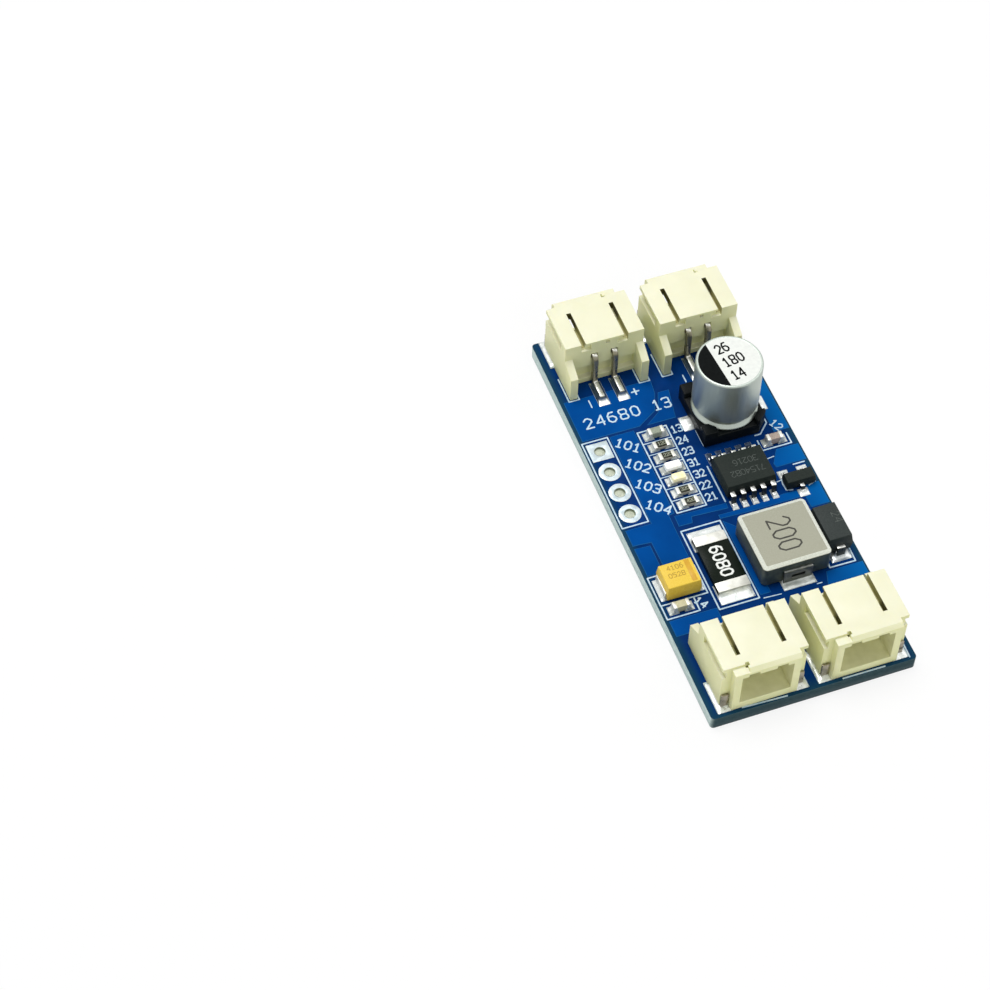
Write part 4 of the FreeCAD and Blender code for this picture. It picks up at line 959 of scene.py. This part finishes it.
def make_can():
    low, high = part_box("capacitor_can")
    centre = Vector(((low.x + high.x) / 2, (low.y + high.y) / 2, 0))
    radius = (high.x - low.x) / 2
    foot, top = low.z, high.z
    bead, rim = 0.15 * MM, 0.2 * MM
    profile = [(0, foot), (radius - 0.4 * MM, foot)]
    profile += arc_points((radius - bead, foot + bead), bead, -80, 50, 8)
    # The depth of the groove over the bead, at heights above the foot.
    profile += [
        (radius - depth * MM, foot + height * MM)
        for depth, height in (
            (0.16, 0.36), (0.28, 0.45), (0.35, 0.55), (0.35, 0.64), (0.3, 0.75),
            (0.2, 0.89), (0.1, 1.02), (0.03, 1.13), (0, 1.23),
        )
    ]
    profile += arc_points((radius - rim, top - rim), rim, 0, 90, 8)
    profile += [(radius - 0.26 * MM, top - 0.02 * MM), (0, top - 0.02 * MM)]
    can = lathe("capacitor_can_rolled", profile, centre, ALUMINIUM)
    keep_piece(can, "rolled_can", "capacitor_can")

    # The lacquered disc on the end, and the printed segment that marks the negative side.
    disc_radius = radius - 0.22 * MM
    level = top - 0.019 * MM
    disc = lathe(
        "capacitor_end_lacquer",
        [(0, level - 0.01 * MM), (disc_radius, level - 0.01 * MM), (disc_radius, level),
         (0, level)],
        centre, WHITE_LACQUER,
    )
    keep_piece(disc, "rolled_can")

    chord = -1.17 * MM
    tilt = 3.8
    limit = math.degrees(math.acos(chord / disc_radius))
    arc = arc_points((0, 0), disc_radius, limit + tilt, 360 - limit + tilt, 40)
    shape = bmesh.new()
    add_prism(shape, *(
        [centre + Vector((x, y, height)) for x, y in arc] for height in (level, level + INK)
    ))
    bmesh.ops.recalc_face_normals(shape, faces=shape.faces)
    keep_piece(piece_from("capacitor_polarity_mark", shape, BLACK_INK), "rolled_can")

    x, y = middle("capacitor_can")
    lines = rows_of_numbers(
        ("26", x - 0.6, y + 1.1, 1.02, 9, 0.68, 0.8),
        ("180", x - 0.5, y - 0.55, 1.02, 9, 0.72, 0.8),
        ("14", x - 0.35, y - 2.2, 1.02, 9, 0.68, 0.8),
    )
    print_lines("capacitor_numbers", lines, 0.17 * MM, level, BLACK_INK, "rolled_can", INK)
    dress_node("capacitor_base", "black_moulding", BLACK_NYLON, 0.09 * MM)
    for number in (1, 2):
        dress_node(f"capacitor_lead_{number}", "tinned_pin", PIN_TIN, 0.03 * MM)


# Sockets, chip and other moulded parts

# Where the faces of a housing's recesses have their centres, in millimetres: aside of its
# middle, behind its mating end and below its top.
MOUTH = ((-0.01, 2.42), (0.02, 3.9), (0.55, 4.65))
SLOTS = ((1.9, 2.37), (1.9, 5.99), (0.02, 1.22))


def shade_recesses(housing, node, faces_near):
    """Paint shade on the faces inside a housing's mouth and slots, with their own darker finish."""
    low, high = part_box(node)
    for finish in (IVORY_CAVITY_SHADE, IVORY_SLOT_SHADE):
        housing.data.materials.append(finish)
    for face in housing.data.polygons:
        x, y, z = face.center
        behind = y - low.y if faces_near else high.y - y
        place = (abs(x - (low.x + high.x) / 2) / MM, behind / MM, (high.z - z) / MM)
        for index, limits in ((1, MOUTH), (2, SLOTS)):
            if all(least < value < most for value, (least, most) in zip(place, limits)):
                face.material_index = index


def make_sockets():
    for end in ("near", "far"):
        for side in ("left", "right"):
            name = f"socket_{end}_{side}"
            housing = dress_node(f"{name}_housing", "ivory_moulding", IVORY, 0.07 * MM, 3)
            shade_recesses(housing, f"{name}_housing", end == "near")
            for number in (1, 2):
                dress_node(f"{name}_pin_{number}", "tinned_pin", PIN_TIN, 0.05 * MM)
                dress_node(f"{name}_tab_{number}", "tinned_pin", TAB_TIN, 0.03 * MM)


def make_inductor():
    """The pressed core, its top rim narrowed to a slope that is painted paler, as a painted
    highlight.
    """
    core = dress_node("inductor_core", "pressed_powder", IRON_POWDER, 0.05 * MM, 3)
    low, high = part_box("inductor_core")
    centre = (low + high) / 2
    bevel, width, drop = 0.32 * MM, 0.27 * MM, 0.18 * MM
    mesh = core.data
    for vertex in mesh.vertices:
        place = vertex.co
        climb = (place.z - high.z + bevel) / bevel
        if climb > -0.01:
            inward = climb * (width - bevel)
            place.x -= math.copysign(inward, place.x - centre.x)
            place.y -= math.copysign(inward, place.y - centre.y)
            place.z = high.z - drop * (1 - climb)
    mesh.materials.append(IRON_RIM_HIGHLIGHT)
    mesh.update()
    for face in mesh.polygons:
        if 0.4 < face.normal.z < 0.97:
            face.material_index = 1
    for edge in mesh.edges:
        if all(mesh.vertices[i].co.z > high.z - 0.01 * MM for i in edge.vertices):
            edge.use_edge_sharp = True


def make_moulded_parts():
    dress_node("charger_chip_body", "moulding_compound", DARK_COMPOUND, 0.05 * MM)
    dress_node("transistor_body", "moulding_compound", DARK_COMPOUND, 0.05 * MM)
    dress_node("diode_body", "moulding_compound", COMPOUND, 0.05 * MM)
    for node in (
        "charger_chip_near_leads", "charger_chip_far_leads", "transistor_lead_1",
        "transistor_lead_2", "transistor_lead_3", "diode_lead_1", "diode_lead_2",
    ):
        dress_node(node, "component_tin", LEAD_TIN, 0.025 * MM)
    dress_node("tantalum_body", "yellow_moulding", YELLOW_EPOXY, 0.08 * MM, 3)
    make_inductor()
    for number in (1, 2):
        dress_node(f"tantalum_strap_{number}", "component_tin", CAP_TIN, 0.025 * MM)
        dress_node(f"inductor_strap_{number}", "component_tin", DULL_TIN, 0.03 * MM)
    dress_node("sense_resistor_body", "glazed_resistor", BLACK_GLAZE, 0.04 * MM)
    for number in (1, 2):
        dress_node(f"sense_resistor_cap_{number}", "component_tin", CAP_TIN, 0.05 * MM)


def print_parts():
    # Name, node, slot, ink, width and thickness of the strokes, then each number with its
    # place from the node's middle, height, turn, pitch and stretch.
    for name, node, slot, ink, width, thickness, numbers in (
        ("inductor", "inductor_core", "pressed_powder", DARK_INK, 0.17, 0.006,
         [("200", -1.05, 1.75, 2.1, -90, 0.62, 0.72)]),
        ("sense", "sense_resistor_body", "glazed_resistor", WHITE_INK, 0.2, 0.008,
         [("6080", -0.54, 1.62, 1.1, -90, 0.8, 0.92)]),
        ("chip", "charger_chip_body", "moulding_compound", GREY_INK, 0.05, 0.004,
         [("30216", 1.5, 0.9, 0.62, 180, 0.8), ("7154082", 1.75, -0.3, 0.62, 180, 0.78)]),
        ("tantalum", "tantalum_body", "yellow_moulding", BROWN_INK, 0.08, 0.004,
         [("4106", -0.95, 0.52, 0.46, 0, 0.9), ("0528", -1.05, -0.3, 0.46, 0, 0.9)]),
        ("diode", "diode_body", "moulding_compound", GREY_INK, 0.06, 0.004,
         [("24", 0.25, 0.9, 0.75, -90, 0.9)]),
    ):
        x, y = middle(node)
        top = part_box(node)[1].z
        lines = rows_of_numbers(*(
            (text, x + across, y + along, *form) for text, across, along, *form in numbers
        ))
        print_lines(f"{name}_numbers", lines, width * MM, top, ink, slot, thickness * MM)


def make_polarity_band():
    """The printed band over the positive end of the tantalum's top."""
    low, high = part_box("tantalum_body")
    inset = 0.2 * MM
    shape = bmesh.new()
    bmesh_block(
        shape, Vector((high.x - 0.86 * MM, low.y + inset, high.z - 0.01 * MM)),
        Vector((high.x - 0.38 * MM, high.y - inset, high.z + 0.005 * MM)), 0.002 * MM, 1,
    )
    keep_piece(piece_from("tantalum_band", shape, ORANGE_BAND), "yellow_moulding")


# Small chips

def chip_piece(node, slot, parts, *finishes):
    """One small chip from rounded blocks.

    A block is its low and high corner, as shares of the chip's box, its rounding and the
    number of its finish.
    """
    low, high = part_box(node)
    size = high - low
    shape = bmesh.new()
    for start, end, edge, finish_index in parts:
        corners = (low + Vector(part) * size for part in (start, end))
        bmesh_block(shape, *corners, edge, 3, finish_index)
    piece = piece_from(f"{node}_detailed", shape, *finishes)
    smooth(piece.data, 40)
    return keep_piece(piece, slot, node)


def make_small_chips():
    for number, finish in ((1, GREY_CERAMIC), (2, ROSE_CERAMIC), (3, BEIGE_CERAMIC)):
        parts = (
            ((0.16, 0.04, 0.04), (0.84, 0.96, 0.96), 0.05 * MM, 0),
            ((0, 0, 0), (0.23, 1, 1), 0.09 * MM, 1),
            ((0.77, 0, 0), (1, 1, 1), 0.09 * MM, 1),
        )
        chip_piece(f"ceramic_capacitor_{number}", "fired_ceramic", parts, finish, CAP_TIN)
    for number in (1, 2, 3, 4):
        parts = (
            ((0.08, 0.0, 0.08), (0.92, 1.0, 0.82), 0.02 * MM, 0),
            ((0.215, 0.05, 0.60), (0.785, 0.95, 1.0), 0.05 * MM, 1),
            ((0, 0, 0), (0.22, 1, 0.94), 0.05 * MM, 2),
            ((0.78, 0, 0), (1, 1, 0.94), 0.05 * MM, 2),
        )
        node = f"chip_resistor_{number}"
        chip_piece(node, "glazed_resistor", parts, SHADED_ALUMINA, RESISTOR_GLAZE, CAP_TIN)
        x, y = middle(node)
        lines = number_lines(f"{number}20", x - 0.33, y - 0.17, 0.34, 0, 0.78)
        print_lines(
            f"{node}_numbers", lines, 0.045 * MM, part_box(node)[1].z, MARKING_INK,
            "glazed_resistor", 0.003 * MM,
        )
    for number, resin, inset in ((1, WHITE_RESIN, 0.02), (2, YELLOW_RESIN, 0.1)):
        parts = (
            ((0.02, 0.02, 0.0), (0.98, 0.98, 0.38), 0.02 * MM, 0),
            ((inset, 0.02, 0.30), (1 - inset, 0.98, 1.0), 0.12 * MM, 1),
            ((0, 0, 0), (0.16, 1, 0.42), 0.03 * MM, 2),
            ((0.84, 0, 0), (1, 1, 0.42), 0.03 * MM, 2),
        )
        chip_piece(f"indicator_lamp_{number}", "lamp_resin", parts, SHADED_ALUMINA, resin, CAP_TIN)


# Board and plated holes

def make_board():
    dress_node("circuit_board", "solder_mask", LAMINATE, 0.05 * MM)
    lands = NODES["tinned_lands"]
    lands.data.materials.clear()
    lands.data.materials.append(LAND_TIN)
    for number in (1, 2, 3, 4):
        dress_node(f"header_eyelet_{number}", "tinned_copper", EYELET_TIN, 0.02 * MM)


make_camera()
make_lamps()
make_table()
make_board()
make_copper_areas()
print_board()
make_solder()
make_sockets()
make_can()
make_moulded_parts()
make_polarity_band()
print_parts()
make_small_chips()

bpy.context.scene.view_settings.view_transform = "Standard"
